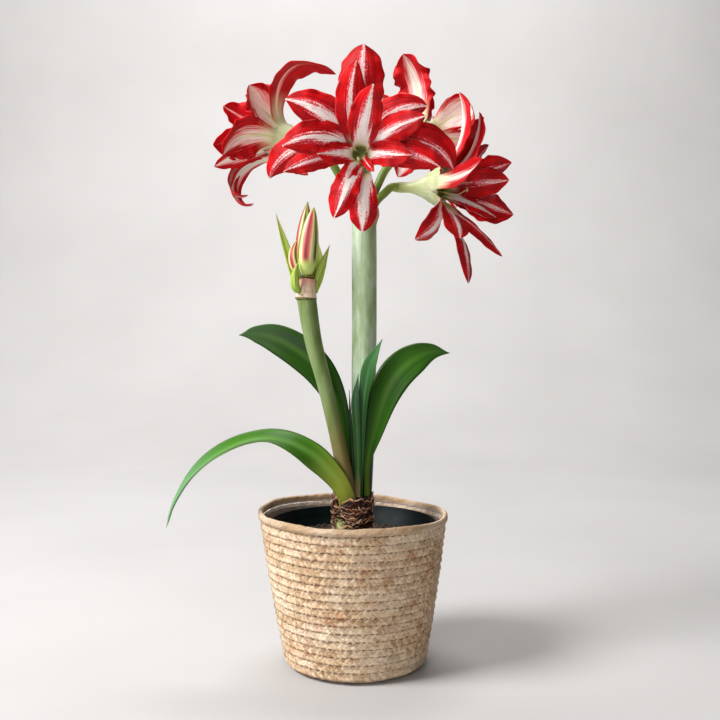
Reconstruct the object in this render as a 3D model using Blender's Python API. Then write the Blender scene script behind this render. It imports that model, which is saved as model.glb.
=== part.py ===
"""Potted amaryllis in a braided basket: bulb, two scapes, leaves, buds and four double flowers.

Metres, +Z up. The origin is the centre of the basket's underside, on the surface it stands on.
Flowers and leaves are given in millimetres and degrees and scaled by MM where they are built.
"""
import math
from collections import namedtuple

import bmesh
import bpy
from mathutils import Matrix, Vector

MM = 0.001
UP = Vector((0, 0, 1))
GAP = 0.3 * MM

# basket, liner, nursery pot and soil
BASKET_RIM_RADIUS = 91.5 * MM
BASKET_FOOT_RADIUS = 68.5 * MM
BASKET_HEIGHT = 147.5 * MM
BASKET_WALL = 5.5 * MM
BASKET_FOOT_ROUND = 8 * MM
ROW_PITCH = 7.5 * MM
ROW_GROOVE = 1.5 * MM
RIM_ROLL = 8.6 * MM
LINER_THICKNESS = 0.6 * MM
LINER_TOP = 143 * MM
POT_WALL = 1.2 * MM
POT_FOOT_RADIUS = 58 * MM
POT_TOP = 137 * MM
POT_BAND = 9 * MM
SOIL_TOP = 120 * MM
ROUND_SIDES = 40

# bulb
NECK_TOP = 166 * MM
NECK_RADIUS = 20 * MM
BULB_BOTTOM = 46 * MM
BULB_RADIUS = 40 * MM
BULB_WIDEST = 84 * MM
BULB_SIDES = 24

# plant tissue
PETAL_THICKNESS = 1.0 * MM
LEAF_THICKNESS = 1.8 * MM
STEM_SIDES = 14
FUNNEL_RADIUS = 15 * MM
FUNNEL_WALL = 1.1 * MM
SLEEVE_WALL = 1.0 * MM
RING_STEP = 1.7 * MM
PEDICEL_RADIUS = 3.9 * MM

# a petal springs from the funnel at `clock` degrees round the flower's face, `ring` steps inside
# its rim; it leaves the flower's axis at `start` degrees, ends at `end`, and swings by `bend`
Petal = namedtuple("Petal", "name ring clock bend length start end width twist")
Flower = namedtuple("Flower", "throat heading tilt petals inner stalk")


def rgb(red, green, blue):
    return (red, green, blue, 1)


def material(name, colour, roughness, metallic=0.0):
    made = bpy.data.materials.new(name)
    made.use_nodes = True
    shader = made.node_tree.nodes["Principled BSDF"]
    shader.inputs["Base Color"].default_value = colour
    shader.inputs["Roughness"].default_value = roughness
    shader.inputs["Metallic"].default_value = metallic
    made.diffuse_color = colour
    return made


def add_object(name, bm, colour, roughness):
    """Turns a bmesh into the scene object of one sub-part, with a material of its own."""
    bmesh.ops.recalc_face_normals(bm, faces=bm.faces)
    mesh = bpy.data.meshes.new(name)
    bm.to_mesh(mesh)
    bm.free()
    mesh.shade_smooth()
    mesh.set_sharp_from_angle(angle=math.radians(40))
    mesh.materials.append(material(name, colour, roughness))
    made = bpy.data.objects.new(name, mesh)
    bpy.context.collection.objects.link(made)
    return made


def bridge(bm, rings, closed=False):
    """Joins rings of points with quads, the last to the first too if closed; returns their vertices."""
    loops = [[bm.verts.new(point) for point in ring] for ring in rings]
    for lower, upper in zip(loops, loops[1:] + loops[:1] if closed else loops[1:]):
        for index in range(len(lower)):
            following = (index + 1) % len(lower)
            bm.faces.new((lower[index], lower[following], upper[following], upper[index]))
    return loops


def skin(bm, rings):
    """A closed solid through round rings, with a fan over each end."""
    loops = bridge(bm, rings)
    for loop in (loops[0], loops[-1]):
        middle = bm.verts.new(sum((vert.co for vert in loop), Vector()) / len(loop))
        for index in range(len(loop)):
            bm.faces.new((loop[index - 1], loop[index], middle))


def turned(profile, sides):
    """A solid turned about Z from (radius, height) pairs, closed with flat ends."""
    rings = []
    for radius, height in profile:
        angles = (math.tau * step / sides for step in range(sides))
        rings.append([Vector((radius * math.cos(a), radius * math.sin(a), height)) for a in angles])
    bm = bmesh.new()
    skin(bm, rings)
    return bm


def smooth_path(points, steps):
    """Points along a Catmull-Rom curve through the given ones."""
    ends = [points[0] * 2 - points[1]] + list(points) + [points[-1] * 2 - points[-2]]
    spans = len(points) - 1
    path = []
    for step in range(steps + 1):
        place = min(step / steps * spans, spans - 1e-6)
        span = int(place)
        t = place - span
        a, b, c, d = ends[span:span + 4]
        path.append(0.5 * (2 * b + (c - a) * t + (2 * a - 5 * b + 4 * c - d) * t ** 2
                           + (3 * b - a - 3 * c + d) * t ** 3))
    return path


def blend(values, place):
    """Reads a list of evenly spaced values at a place from 0 to 1."""
    spot = place * (len(values) - 1)
    index = min(int(spot), len(values) - 2)
    return values[index] + (values[index + 1] - values[index]) * (spot - index)


def directions(path, flat_foot=False, flat_top=False):
    """The path's direction at each point; a flat foot or top is level, to stand on what is below."""
    last = len(path) - 1
    along = [(path[min(i + 1, last)] - path[max(i - 1, 0)]).normalized() for i in range(last + 1)]
    if flat_foot:
        along[0] = UP
    if flat_top:
        along[last] = UP
    return along


def tube(path, radii, sides=STEM_SIDES, flat_top=False):
    """Rings of a round stem along a path, standing on a level foot."""
    rings = []
    across = None
    for point, along, radius in zip(path, directions(path, True, flat_top), radii):
        if across is None:
            across = along.cross(Vector((0, 1, 0.01))).normalized()
        across = (across - along * across.dot(along)).normalized()
        beside = along.cross(across)
        angles = (math.tau * step / sides for step in range(sides))
        rings.append([point + (across * math.cos(a) + beside * math.sin(a)) * radius for a in angles])
    return rings


def blade(bm, stations, thickness, columns):
    """A thin closed sheet. A station is (point, side, normal, half width, rise of the edges)."""
    rings = []
    for point, side, normal, half, rise in stations:
        front = []
        back = []
        for column in range(columns):
            v = 2 * column / (columns - 1) - 1
            middle = point + side * (half * v) + normal * (rise * v * v)
            front.append(middle + normal * (thickness / 2))
            back.append(middle - normal * (thickness / 2))
        rings.append(front + back[::-1])
    loops = bridge(bm, rings)
    for loop in (loops[0], loops[-1]):
        for index in range(columns - 1):
            bm.faces.new((loop[index], loop[index + 1], loop[-2 - index], loop[-1 - index]))


def basket_inside(height):
    """Inner radius of the basket: a straight cone from its floor to its rim."""
    rise = (height - BASKET_WALL) / (BASKET_HEIGHT - BASKET_WALL)
    return BASKET_FOOT_RADIUS - BASKET_WALL + (BASKET_RIM_RADIUS - BASKET_FOOT_RADIUS) * rise


def basket_outside(height):
    """Outer radius at the crown of a braided row: a straight cone from the table to the rim."""
    return BASKET_FOOT_RADIUS + (BASKET_RIM_RADIUS - BASKET_FOOT_RADIUS) * height / BASKET_HEIGHT


def basket():
    """The braid's rows stand out as ribs between their seams, under a rolled rim."""
    rounding_top = BASKET_HEIGHT - 2 * MM
    profile = [(BASKET_FOOT_RADIUS - BASKET_FOOT_ROUND, 0)]
    for step in range(1, 4):
        angle = math.radians(30 * step)
        profile.append((BASKET_FOOT_RADIUS - BASKET_FOOT_ROUND * (1 - math.sin(angle)),
                        BASKET_FOOT_ROUND * (1 - math.cos(angle))))
    seams = [BASKET_HEIGHT - RIM_ROLL]
    while seams[-1] - ROW_PITCH > BASKET_FOOT_ROUND + 1 * MM:
        seams.append(seams[-1] - ROW_PITCH)
    for seam in reversed(seams):
        crown = seam - ROW_PITCH / 2
        if crown > BASKET_FOOT_ROUND + 1 * MM:
            profile.append((basket_outside(crown), crown))
        profile.append((basket_outside(seam) - ROW_GROOVE, seam))
    profile += [(BASKET_RIM_RADIUS - 1 * MM, BASKET_HEIGHT - RIM_ROLL * 0.65),
                (BASKET_RIM_RADIUS - 0.8 * MM, BASKET_HEIGHT - RIM_ROLL * 0.3),
                (BASKET_RIM_RADIUS - 2 * MM, BASKET_HEIGHT - 0.5 * MM),
                (basket_inside(BASKET_HEIGHT) + 1.5 * MM, BASKET_HEIGHT),
                (basket_inside(rounding_top), rounding_top),
                (basket_inside(BASKET_WALL), BASKET_WALL)]
    add_object("basket", turned(profile, ROUND_SIDES), rgb(0.62, 0.47, 0.30), 0.8)


def liner_outside(height):
    return basket_inside(height) - 1.5 * GAP


def liner():
    floor = BASKET_WALL + GAP
    profile = [(liner_outside(floor), floor),
               (liner_outside(LINER_TOP), LINER_TOP),
               (liner_outside(LINER_TOP) - LINER_THICKNESS, LINER_TOP),
               (liner_outside(floor) - LINER_THICKNESS, floor + LINER_THICKNESS)]
    add_object("basket_liner", turned(profile, ROUND_SIDES), rgb(0.75, 0.77, 0.76), 0.15)


POT_FLOOR = BASKET_WALL + 2 * GAP + LINER_THICKNESS
POT_BAND_RADIUS = liner_outside(POT_TOP - POT_BAND) - LINER_THICKNESS - 2 * GAP
POT_WAIST_RADIUS = POT_BAND_RADIUS - 1.6 * MM


def pot_inside(height):
    rise = (height - POT_FLOOR) / (POT_TOP - POT_BAND - POT_FLOOR)
    return POT_FOOT_RADIUS + (POT_WAIST_RADIUS - POT_FOOT_RADIUS) * rise - POT_WALL


def nursery_pot():
    band_bottom = POT_TOP - POT_BAND
    profile = [(POT_FOOT_RADIUS, POT_FLOOR),
               (POT_WAIST_RADIUS, band_bottom),
               (POT_BAND_RADIUS, band_bottom + 0.5 * MM),
               (POT_BAND_RADIUS, POT_TOP),
               (POT_BAND_RADIUS - POT_WALL, POT_TOP),
               (POT_WAIST_RADIUS - POT_WALL, band_bottom),
               (pot_inside(POT_FLOOR + 2 * MM), POT_FLOOR + 2 * MM)]
    add_object("nursery_pot", turned(profile, ROUND_SIDES), rgb(0.012, 0.013, 0.014), 0.45)


def bulb_radius(height):
    """Outline of the bulb: a round body that draws in to a cylindrical neck."""
    if height < BULB_WIDEST:
        sink = (BULB_WIDEST - height) / (BULB_WIDEST - BULB_BOTTOM)
        return BULB_RADIUS * math.sqrt(max(0, 1 - sink ** 2.4)) + 4 * MM * sink
    shoulder = min(1, (height - BULB_WIDEST) / (SOIL_TOP + 4 * MM - BULB_WIDEST))
    ease = shoulder * shoulder * (3 - 2 * shoulder)
    return BULB_RADIUS + (NECK_RADIUS - BULB_RADIUS) * ease


def heights(bottom, top, steps):
    return [bottom + (top - bottom) * step / steps for step in range(steps + 1)]


def soil():
    floor = POT_FLOOR + 2 * MM + GAP
    profile = [(pot_inside(floor) - 1.5 * GAP, floor), (pot_inside(SOIL_TOP) - 1.5 * GAP, SOIL_TOP)]
    for height in reversed(heights(BULB_BOTTOM - GAP, SOIL_TOP, 9)):
        profile.append((bulb_radius(max(height, BULB_BOTTOM)) + 1.5 * GAP, height))
    add_object("soil", turned(profile, BULB_SIDES), rgb(0.035, 0.022, 0.014), 0.95)


def bulb():
    profile = [(bulb_radius(height), height) for height in heights(BULB_BOTTOM, SOIL_TOP, 9)]
    profile += [(NECK_RADIUS, SOIL_TOP + 8 * MM), (NECK_RADIUS, NECK_TOP)]
    add_object("bulb", turned(profile, BULB_SIDES), rgb(0.23, 0.30, 0.08), 0.5)


def bulb_tunics():
    """The papery old skin round the neck: rows of torn scales that curl away at their tops."""
    sides = 27
    rows = 4
    row_height = 9.5 * MM
    foot = SOIL_TOP + 7 * MM
    skin_radius = NECK_RADIUS + 0.9 * MM

    def ring(height, curl):
        points = []
        for side in range(sides):
            angle = math.tau * side / sides
            radius = skin_radius + curl * (1 + math.sin(angle * 5 + height / MM) * math.cos(angle * 2))
            points.append(Vector((radius * math.cos(angle), radius * math.sin(angle), height)))
        return points

    rings = []
    for row in range(rows):
        rings.append(ring(foot + row * row_height, 0.1 * MM))
        rings.append(ring(foot + (row + 0.94) * row_height, 0.8 * MM))
    for height in (foot + (rows - 0.06) * row_height, foot):
        rings.append([point.normalized() * (NECK_RADIUS + GAP) + UP * height
                      for point in (Vector((corner.x, corner.y, 0)) for corner in ring(height, 0))])
    bm = bmesh.new()
    bridge(bm, rings, closed=True)
    add_object("bulb_tunics", bm, rgb(0.30, 0.15, 0.09), 0.7)


def stem(name, points, radii, colour, steps=12, sides=STEM_SIDES, roughness=0.45):
    path = smooth_path([Vector(point) * MM for point in points], steps)
    widths = [blend(radii, step / steps) * MM for step in range(steps + 1)]
    bm = bmesh.new()
    skin(bm, tube(path, widths, sides, flat_top=True))
    return add_object(name, bm, colour, roughness)


def leaf(name, points, widths, facings, colour, fold=0.12, thickness=LEAF_THICKNESS, steps=14):
    """A strap leaf along its midrib; its face turns from the first of `facings` to the last."""
    path = smooth_path([Vector(point) * MM for point in points], steps)
    turns = [Vector(facing).normalized() for facing in facings]
    stations = []
    for step, (point, along) in enumerate(zip(path, directions(path, True))):
        side = along.cross(blend(turns, step / steps)).normalized()
        normal = side.cross(along).normalized()
        half = blend(widths, step / steps) * MM / 2
        stations.append((point, side, normal, half, fold * half))
    bm = bmesh.new()
    blade(bm, stations, thickness, 5)
    return add_object(name, bm, colour, 0.35)


def scapes():
    stem("tall_scape",
         [(8.5, 8, 166.4), (9.5, 7, 215), (10.5, 5, 290), (11, 4, 360), (11, 4, 436)],
         [10, 11.4, 12, 12, 12, 11.8], rgb(0.22, 0.31, 0.15))
    stem("bud_scape",
         [(-4.8, -8, 166.4), (-10, -9, 196), (-17, -10, 235), (-26, -11, 273), (-37, -12, 312), (-44, -12, 353)],
         [8.2, 7.6, 7.0, 7.2, 8.2, 9.3], rgb(0.26, 0.33, 0.10))
    leaf("tall_scape_bract", [(22.1, -2.2, 424), (24.6, -4, 433), (23, -6, 441)], [3, 9, 7, 2],
         [(-0.9, 0.4, 0)] * 2, rgb(0.42, 0.27, 0.16), thickness=0.6 * MM, steps=4)


def leaves():
    green = rgb(0.05, 0.15, 0.02)
    front = (0, -1, 0)
    leaf("leaf_broad_left",
         [(-12, 4, 166.4), (-13, 7, 205), (-19, 9, 246), (-31, 11, 277), (-49, 13, 298), (-74, 15, 313),
          (-96, 17, 318), (-110, 18, 317)],
         [8, 16, 24, 30, 32, 28, 15, 1.5], [(-0.6, -1, 0), (0, -1, 0.15), (0, -1, 0.15)], green)
    leaf("leaf_arching_left",
         [(-8, -18.5, 166.4), (-18, -21.5, 184), (-34, -22, 201), (-53, -24, 213), (-72, -25, 219), (-90, -26, 219),
          (-111, -27, 213), (-134, -28, 200), (-153, -29, 182), (-168, -30, 158), (-174, -30, 138)],
         [14, 19, 26, 34, 38, 38, 34, 27, 17, 1.5],
         [(0.1, -1, 0), (-0.3, -0.3, 0.9), (-0.1, -0.08, 1), (-0.1, -0.08, 1), (-0.3, -0.12, 1), (-0.7, -0.3, 0.8)],
         rgb(0.13, 0.28, 0.05), fold=-0.1)
    leaf("leaf_right",
         [(13.5, -5, 166.4), (14, -7, 195), (20.5, -9, 224), (29, -10, 256), (41, -9, 279), (58, -7, 294),
          (75, -4, 301), (91, -2, 300)],
         [5, 7, 17, 28, 32, 29, 17, 1.5], [(0, -1, 0.2)] * 2, green)
    leaf("leaf_centre_tall",
         [(8, -9, 166.4), (9, -13, 200), (10.5, -15, 235), (12, -16, 262), (18, -17, 288), (27, -18, 312)],
         [5, 6, 7.5, 9, 10, 6, 1.2], [front] * 2, rgb(0.10, 0.22, 0.08))
    leaf("leaf_centre_short",
         [(3.5, -18.5, 166.4), (5, -19, 200), (3, -18, 232), (2, -18, 256), (5, -18, 281)],
         [4, 5, 7, 8, 5, 1.2], [front] * 2, rgb(0.03, 0.08, 0.02))
    leaf("leaf_centre_slender",
         [(-4.6, 3, 166.4), (-2.5, -0.5, 200), (-2.5, -1.5, 232), (-3.5, -2.5, 263)],
         [4.5, 5, 5, 3.5, 1.2], [(-0.6, -0.8, 0)] * 2, rgb(0.03, 0.07, 0.02))


def spindle(radius, steps):
    """Radii of a bud: it swells quickly from its stalk and draws in to a blunt tip."""
    radii = []
    for step in range(steps + 1):
        swell = math.sin(math.pi * min(1, 0.97 * (step / steps) ** 0.75 + 0.03)) ** 0.7
        radii.append(radius * max(0.17, swell))
    return radii


def buds():
    cream_green = rgb(0.48, 0.50, 0.20)
    small_green = rgb(0.28, 0.40, 0.08)
    shapes = (
        ("bud_large_front", [(-43.5, -15, 371.6), (-42.5, -17, 394), (-40, -17, 418), (-36.5, -16, 438)], 9.6,
         cream_green),
        ("bud_large_back", [(-45, -6.8, 371.6), (-47, 5, 394), (-46.5, 7, 420), (-43.5, 6, 443.5)], 8.2, cream_green),
        ("bud_medium_left", [(-49, -9, 371.6), (-55.5, -9.5, 384), (-57, -8.5, 396), (-53.5, -6, 408)], 4.6,
         small_green),
        ("bud_small_left", [(-50.2, -20.7, 357), (-54, -23, 364), (-54, -23.5, 375), (-51, -23, 386)], 4.2,
         small_green),
    )
    for name, points, radius, colour in shapes:
        stem(name, points, spindle(radius, 9), colour, steps=9, sides=10)
    stem("bud_collar", [(-44.3, -12, 353.4), (-43.4, -12, 362), (-43, -12, 371.2)], [9.4, 9, 8.2, 7.8],
         rgb(0.52, 0.36, 0.26), steps=4)
    bract = rgb(0.25, 0.32, 0.06)
    thin = 0.9 * MM
    leaf("bud_bract_left", [(-52.6, -6.8, 361), (-57, -1, 378), (-63, 1, 398), (-69, 1, 417), (-73, 1, 433)],
         [3, 9, 8.5, 6.5, 3.5, 1], [(0.2, -1, 0)] * 2, bract, thickness=thin, steps=8)
    leaf("bud_bract_right", [(-32.3, -10, 360), (-30.5, -9.5, 375), (-27, -9, 389), (-22.5, -8, 402)],
         [3, 8, 8, 4.5, 1], [(-0.2, -1, 0)] * 2, bract, thickness=thin, steps=7)
    leaf("bud_bract_back", [(-35.9, -5.2, 360), (-33, -1, 378), (-32, 1, 392), (-33, 1.5, 405)],
         [3, 9, 9, 5, 1], [(-0.2, -1, 0)] * 2, bract, thickness=thin, steps=7)


FLOWERS = {
    "front_flower": Flower(
        throat=(3, -62, 479), heading=268, tilt=-10,
        petals=[
            Petal("top", 0, 6, 2, 83, 48, 114, 38, 0),
            Petal("upper_right", 1, 28, 72, 80, 38, 100, 30, 0),
            Petal("right", 0, 62, 76, 90, 48, 115, 34, 0),
            Petal("bottom", 0, 172, 10, 60, 50, 110, 27, 0),
            Petal("left", 0, -70, -90, 86, 50, 116, 28, 0),
            Petal("upper_left", 1, -34, -54, 80, 38, 104, 34, 0),
        ],
        inner=[
            Petal("a", 2, -4, 4, 80, 30, 92, 31, 0),
            Petal("b", 2, -56, -56, 78, 30, 92, 32, 0),
            Petal("c", 1, -92, -26, 72, 38, 95, 20, 0),
            Petal("d", 1, 222, -16, 38, 44, 100, 24, 0),
            Petal("e", 2, 198, -4, 62, 33, 88, 26, 0),
            Petal("f", 2, 46, 26, 76, 28, 86, 26, 0),
            Petal("g", 1, 82, 40, 76, 36, 96, 24, 0),
            Petal("h", 3, 10, 12, 78, 18, 66, 29, 0),
            Petal("i", 3, -88, -6, 44, 20, 58, 22, 0),
            Petal("j", 3, 96, 0, 56, 22, 66, 24, 0),
            Petal("k", 4, 150, 0, 24, 14, 46, 7, 0),
        ],
        stalk=[(7, -1, 436.4), (5.5, -2, 452), (4.5, -8, 470), (4.4, -17, 482)],
    ),
    "left_flower": Flower(
        throat=(-66, 12, 505), heading=152, tilt=12,
        petals=[
            Petal("top", 0, 22, 10, 104, 65, 215, 28, 60),
            Petal("upper_left", 0, -24, -4, 70, 26, 60, 40, 0),
            Petal("near", 0, 88, 66, 66, 45, 75, 40, 0),
            Petal("lower", 0, 145, 0, 92, 30, 180, 20, 0),
            Petal("under", 0, 195, 0, 40, 80, 165, 20, 0),
            Petal("far", 0, -78, 0, 84, 16, 52, 34, 0),
        ],
        inner=[
            Petal("a", 1, 128, 4, 88, 18, 130, 22, 0),
            Petal("b", 2, 106, 10, 58, 14, 40, 20, 0),
            Petal("c", 1, 56, 50, 66, 22, 50, 22, 0),
            Petal("d", 3, 70, 50, 62, 8, 32, 20, 0),
            Petal("e", 2, 8, 0, 64, 16, 44, 24, 0),
            Petal("f", 2, -60, 0, 60, 8, 34, 20, 0),
        ],
        stalk=[(7, 8, 436.4), (-2, 8, 452), (-13, 1, 470), (-24, -6, 487), (-36, -4, 498)],
    ),
    "right_flower": Flower(
        throat=(86, 4, 459), heading=-20, tilt=-3,
        petals=[
            Petal("left_lower", 0, 222, 0, 58, 55, 180, 22, 0),
            Petal("bottom", 0, 186, 0, 86, 45, 90, 22, 0),
            Petal("upper_left", 0, -42, 0, 60, 45, 185, 22, 0),
            Petal("top", 0, -8, 0, 86, 45, 108, 24, 0),
            Petal("far", 0, 24, 0, 82, 50, 80, 26, 0),
            Petal("lower_right", 0, 152, 0, 82, 32, 60, 22, 0),
        ],
        inner=[
            Petal("a", 2, 212, 0, 62, 28, 78, 18, 0),
            Petal("b", 2, -52, 0, 64, 20, 55, 20, 0),
            Petal("c", 2, 2, 0, 78, 25, 92, 22, 0),
            Petal("d", 2, 112, 0, 80, 20, 42, 30, 0),
            Petal("e", 2, 44, 0, 78, 15, 38, 24, 0),
            Petal("f", 3, 75, 0, 68, 10, 26, 20, 0),
            Petal("g", 3, 166, 0, 54, 12, 40, 16, 0),
        ],
        stalk=[(15.3, 0, 436.4), (22, 0, 444.5), (30, 3, 453), (37, 10, 460), (43, 20, 461.5)],
    ),
    "back_flower": Flower(
        throat=(70, 44, 517), heading=64, tilt=31,
        petals=[
            Petal("top", 0, 4, 8, 74, 42, 120, 36, 0),
            Petal("upper_right", 0, -56, 0, 50, 45, 112, 28, 0),
            Petal("right", 0, -100, 0, 48, 45, 80, 26, 0),
            Petal("upper_left", 0, 55, -6, 64, 45, 110, 22, 0),
            Petal("lower_left", 0, 135, 8, 54, 50, 100, 24, 0),
            Petal("bottom", 0, 188, 0, 80, 50, 105, 24, 0),
        ],
        inner=[
            Petal("a", 2, -20, 0, 50, 20, 60, 24, 0),
            Petal("b", 2, 90, 0, 60, 22, 65, 24, 0),
            Petal("c", 2, -78, 0, 52, 20, 60, 22, 0),
            Petal("d", 2, 215, 0, 56, 22, 60, 22, 0),
            Petal("e", 2, 150, 0, 56, 22, 60, 22, 0),
        ],
        stalk=[(15.3, 8.6, 436.4), (19, 9, 450), (25, 8, 464), (31, 8, 476), (39, 8, 485), (49, 7, 491)],
    ),
}
CLAW = 0.24
SLIM = 0.86
CLAW_DEPTH = 4.4 * MM
FUNNEL = ((0, 15.4), (7, 12.0), (16, 8.2), (29, 4.6), (34, 5.2), (40, 5.4))
FUNNEL_DEPTHS = (0, 7, 16, 25)
SLEEVE_DEPTHS = (6.8, 16, 24)


def flower_axes(flower):
    """The flower's facing direction, its own up, and the side that is clockwise from up."""
    heading = math.radians(flower.heading)
    tilt = math.radians(flower.tilt)
    facing = Vector((math.cos(tilt) * math.cos(heading), math.cos(tilt) * math.sin(heading), math.sin(tilt)))
    above = (UP - facing * facing.z).normalized()
    return facing, above, (-facing).cross(above)


def petal_width(place):
    """Half-width profile from 0 to 1: a narrow claw, a full middle, a pointed tip."""
    widest = 0.52
    if place < widest:
        rise = place / widest
        return CLAW + (1 - CLAW) * rise * rise * (3 - 2 * rise)
    fall = (place - widest) / (1 - widest)
    return max(0.05, (1 - fall ** 2.1) ** 0.85)


def funnel_inside(depth):
    """Inner radius of the funnel at a depth below its rim."""
    for (high, wide), (low, narrow) in zip(FUNNEL, FUNNEL[1:]):
        if depth <= low * MM:
            return (wide + (narrow - wide) * (depth / MM - high) / (low - high)) * MM - FUNNEL_WALL


def petal_path(flower, petal, steps, depth):
    """Midrib points, from a claw rooted at a depth in the funnel, and where the face looks at each."""
    facing, above, beside = flower_axes(flower)
    throat = Vector(flower.throat) * MM

    def outward(place):
        clock = math.radians(petal.clock + petal.bend * place ** 1.2)
        return above * math.cos(clock) + beside * math.sin(clock)

    radius = FUNNEL_RADIUS - 0.1 * MM - petal.ring * RING_STEP
    level = PETAL_THICKNESS / 2 + GAP + 0.6 * petal.ring * MM
    point = throat + facing * level + outward(0) * radius
    path = []
    faces = []
    if depth:
        root = funnel_inside(depth) - PETAL_THICKNESS / 2 - 1.5 * GAP
        path.append(throat - facing * depth + outward(0) * root)
        faces.append(-outward(0))
    fine = 8
    for count in range(steps * fine + 1):
        place = count / (steps * fine)
        opening = math.radians(petal.start + (petal.end - petal.start) * place)
        if count % fine == 0:
            path.append(point.copy())
            faces.append(facing * math.sin(opening) - outward(place) * math.cos(opening))
        along = facing * math.cos(opening) + outward(place) * math.sin(opening)
        point += along * (petal.length * MM / (steps * fine))
    return path, faces


def petal_stations(flower, petal, steps, depth):
    """Midrib points with their side, normal, half width and the rise of the petal's edges."""
    facing = flower_axes(flower)[0]
    throat = Vector(flower.throat) * MM
    path, faces = petal_path(flower, petal, steps, depth)
    stations = []
    for index, (point, along, face) in enumerate(zip(path, directions(path), faces)):
        place = max(0, (index - len(path) + 1 + steps) / steps)
        side = Matrix.Rotation(-math.radians(petal.twist) * place, 3, along) @ along.cross(face).normalized()
        normal = side.cross(along).normalized()
        half = petal.width * MM / 2 * SLIM * petal_width(place)
        # the sheet follows the cone that its ring of petals lies on
        reach = (point - throat) - facing * (point - throat).dot(facing)
        rise = half * half * max(0, along.dot(facing)) / 2 / max(reach.length, 6 * MM)
        stations.append((point, side, normal, half, rise))
    return stations


def funnel_ring(flower, across, depth, inset):
    """A ring inside the funnel at a depth below its rim, with its first point towards `across`."""
    facing = flower_axes(flower)[0]
    centre = Vector(flower.throat) * MM - facing * depth
    radius = funnel_inside(depth) - inset
    angles = (math.tau * step / STEM_SIDES for step in range(STEM_SIDES))
    return [centre + (across * math.cos(a) + facing.cross(across) * math.sin(a)) * radius for a in angles]


def flower_tube(name, flower):
    """Stalk, swollen ovary and open funnel, in one piece; returns where its first side lies."""
    facing = flower_axes(flower)[0]
    throat = Vector(flower.throat) * MM
    steps = 9
    base = throat - facing * (FUNNEL[-1][0] + 6) * MM
    path = smooth_path([Vector(point) * MM for point in flower.stalk[:-1]] + [base], steps)
    radii = [PEDICEL_RADIUS] * (steps + 1)
    for depth, radius in reversed(FUNNEL):
        path.append(throat - facing * depth * MM)
        radii.append(radius * MM)
    rings = tube(path, radii)
    across = (rings[-1][0] - throat).normalized()
    rings += [funnel_ring(flower, across, depth * MM, 0) for depth in FUNNEL_DEPTHS]
    bm = bmesh.new()
    skin(bm, rings)
    add_object(name, bm, rgb(0.42, 0.50, 0.14), 0.45)
    return across


def inner_petals(name, flower, across, colour):
    """The inner petals are grown together at their feet, in a sleeve that lines the funnel."""
    bm = bmesh.new()
    for petal in flower.inner:
        root = (petal.ring + 1) * CLAW_DEPTH
        blade(bm, petal_stations(flower, petal, 8, root), PETAL_THICKNESS, 3)
    petals = add_object(name + "_blades", bm, colour, 0.4)
    petals.hide_render = True
    petals.display_type = "WIRE"
    bm = bmesh.new()
    outside = [funnel_ring(flower, across, depth * MM, GAP) for depth in SLEEVE_DEPTHS]
    inside = [funnel_ring(flower, across, depth * MM, GAP + SLEEVE_WALL) for depth in SLEEVE_DEPTHS[::-1]]
    bridge(bm, outside + inside, closed=True)
    sleeve = add_object(name, bm, colour, 0.4)
    union = sleeve.modifiers.new("petals", "BOOLEAN")
    union.operation = "UNION"
    union.object = petals
    union.use_self = True


def flowers():
    red = rgb(0.60, 0.02, 0.03)
    for name, flower in FLOWERS.items():
        across = flower_tube(name + "_tube", flower)
        for petal in flower.petals:
            bm = bmesh.new()
            root = petal.ring * CLAW_DEPTH
            blade(bm, petal_stations(flower, petal, 8, root), PETAL_THICKNESS, 5)
            add_object(name + "_petal_" + petal.name, bm, red, 0.4)
        inner_petals(name + "_inner_petals", flower, across, red)


def main():
    for old in list(bpy.data.objects):
        bpy.data.objects.remove(old, do_unlink=True)
    basket()
    liner()
    nursery_pot()
    soil()
    bulb()
    bulb_tunics()
    scapes()
    leaves()
    buds()
    flowers()


main()
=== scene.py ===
# The looks of a potted amaryllis in a braided basket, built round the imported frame.
# Tables are in millimetres and degrees unless a note says otherwise; meshes are in metres.
import math
import random
from collections import namedtuple

import bmesh
import bpy
from mathutils import Matrix, Vector, noise


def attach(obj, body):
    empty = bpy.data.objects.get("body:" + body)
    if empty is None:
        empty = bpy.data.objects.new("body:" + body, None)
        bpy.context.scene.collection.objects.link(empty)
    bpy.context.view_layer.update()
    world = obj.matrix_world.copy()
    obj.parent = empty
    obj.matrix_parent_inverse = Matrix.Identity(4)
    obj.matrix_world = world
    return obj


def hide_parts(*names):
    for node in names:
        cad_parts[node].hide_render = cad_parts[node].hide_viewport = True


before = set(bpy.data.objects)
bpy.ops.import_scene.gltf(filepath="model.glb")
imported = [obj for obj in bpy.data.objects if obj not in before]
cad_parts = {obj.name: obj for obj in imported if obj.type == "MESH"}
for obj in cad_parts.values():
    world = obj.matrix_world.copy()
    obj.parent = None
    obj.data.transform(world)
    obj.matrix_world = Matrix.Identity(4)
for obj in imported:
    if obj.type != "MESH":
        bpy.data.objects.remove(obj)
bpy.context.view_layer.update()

mm = 0.001
up = Vector((0, 0, 1))
weldReach = 1e-7  # in metres; points closer than this become one
random.seed(11)


# small helpers for numbers and paths

def ease(place, low=0.0, high=1.0):
    part = min(1, max(0, (place - low) / (high - low)))
    return part * part * (3 - 2 * part)


def between(a, b, place):
    return a + (b - a) * place


def throughFour(a, b, c, d, t):  # a point on the smooth curve between b and c
    return 0.5 * (2 * b + (c - a) * t + (2 * a - 5 * b + 4 * c - d) * t * t
                  + (3 * b - a - 3 * c + d) * t ** 3)


def readAt(values, place):  # evenly spaced values, read smoothly from 0 to 1
    ends = [values[0]] + list(values) + [values[-1]]
    spot = min(max(place, 0), 0.99999) * (len(values) - 1)
    index = int(spot)
    return throughFour(*ends[index:index + 4], spot - index)


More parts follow.
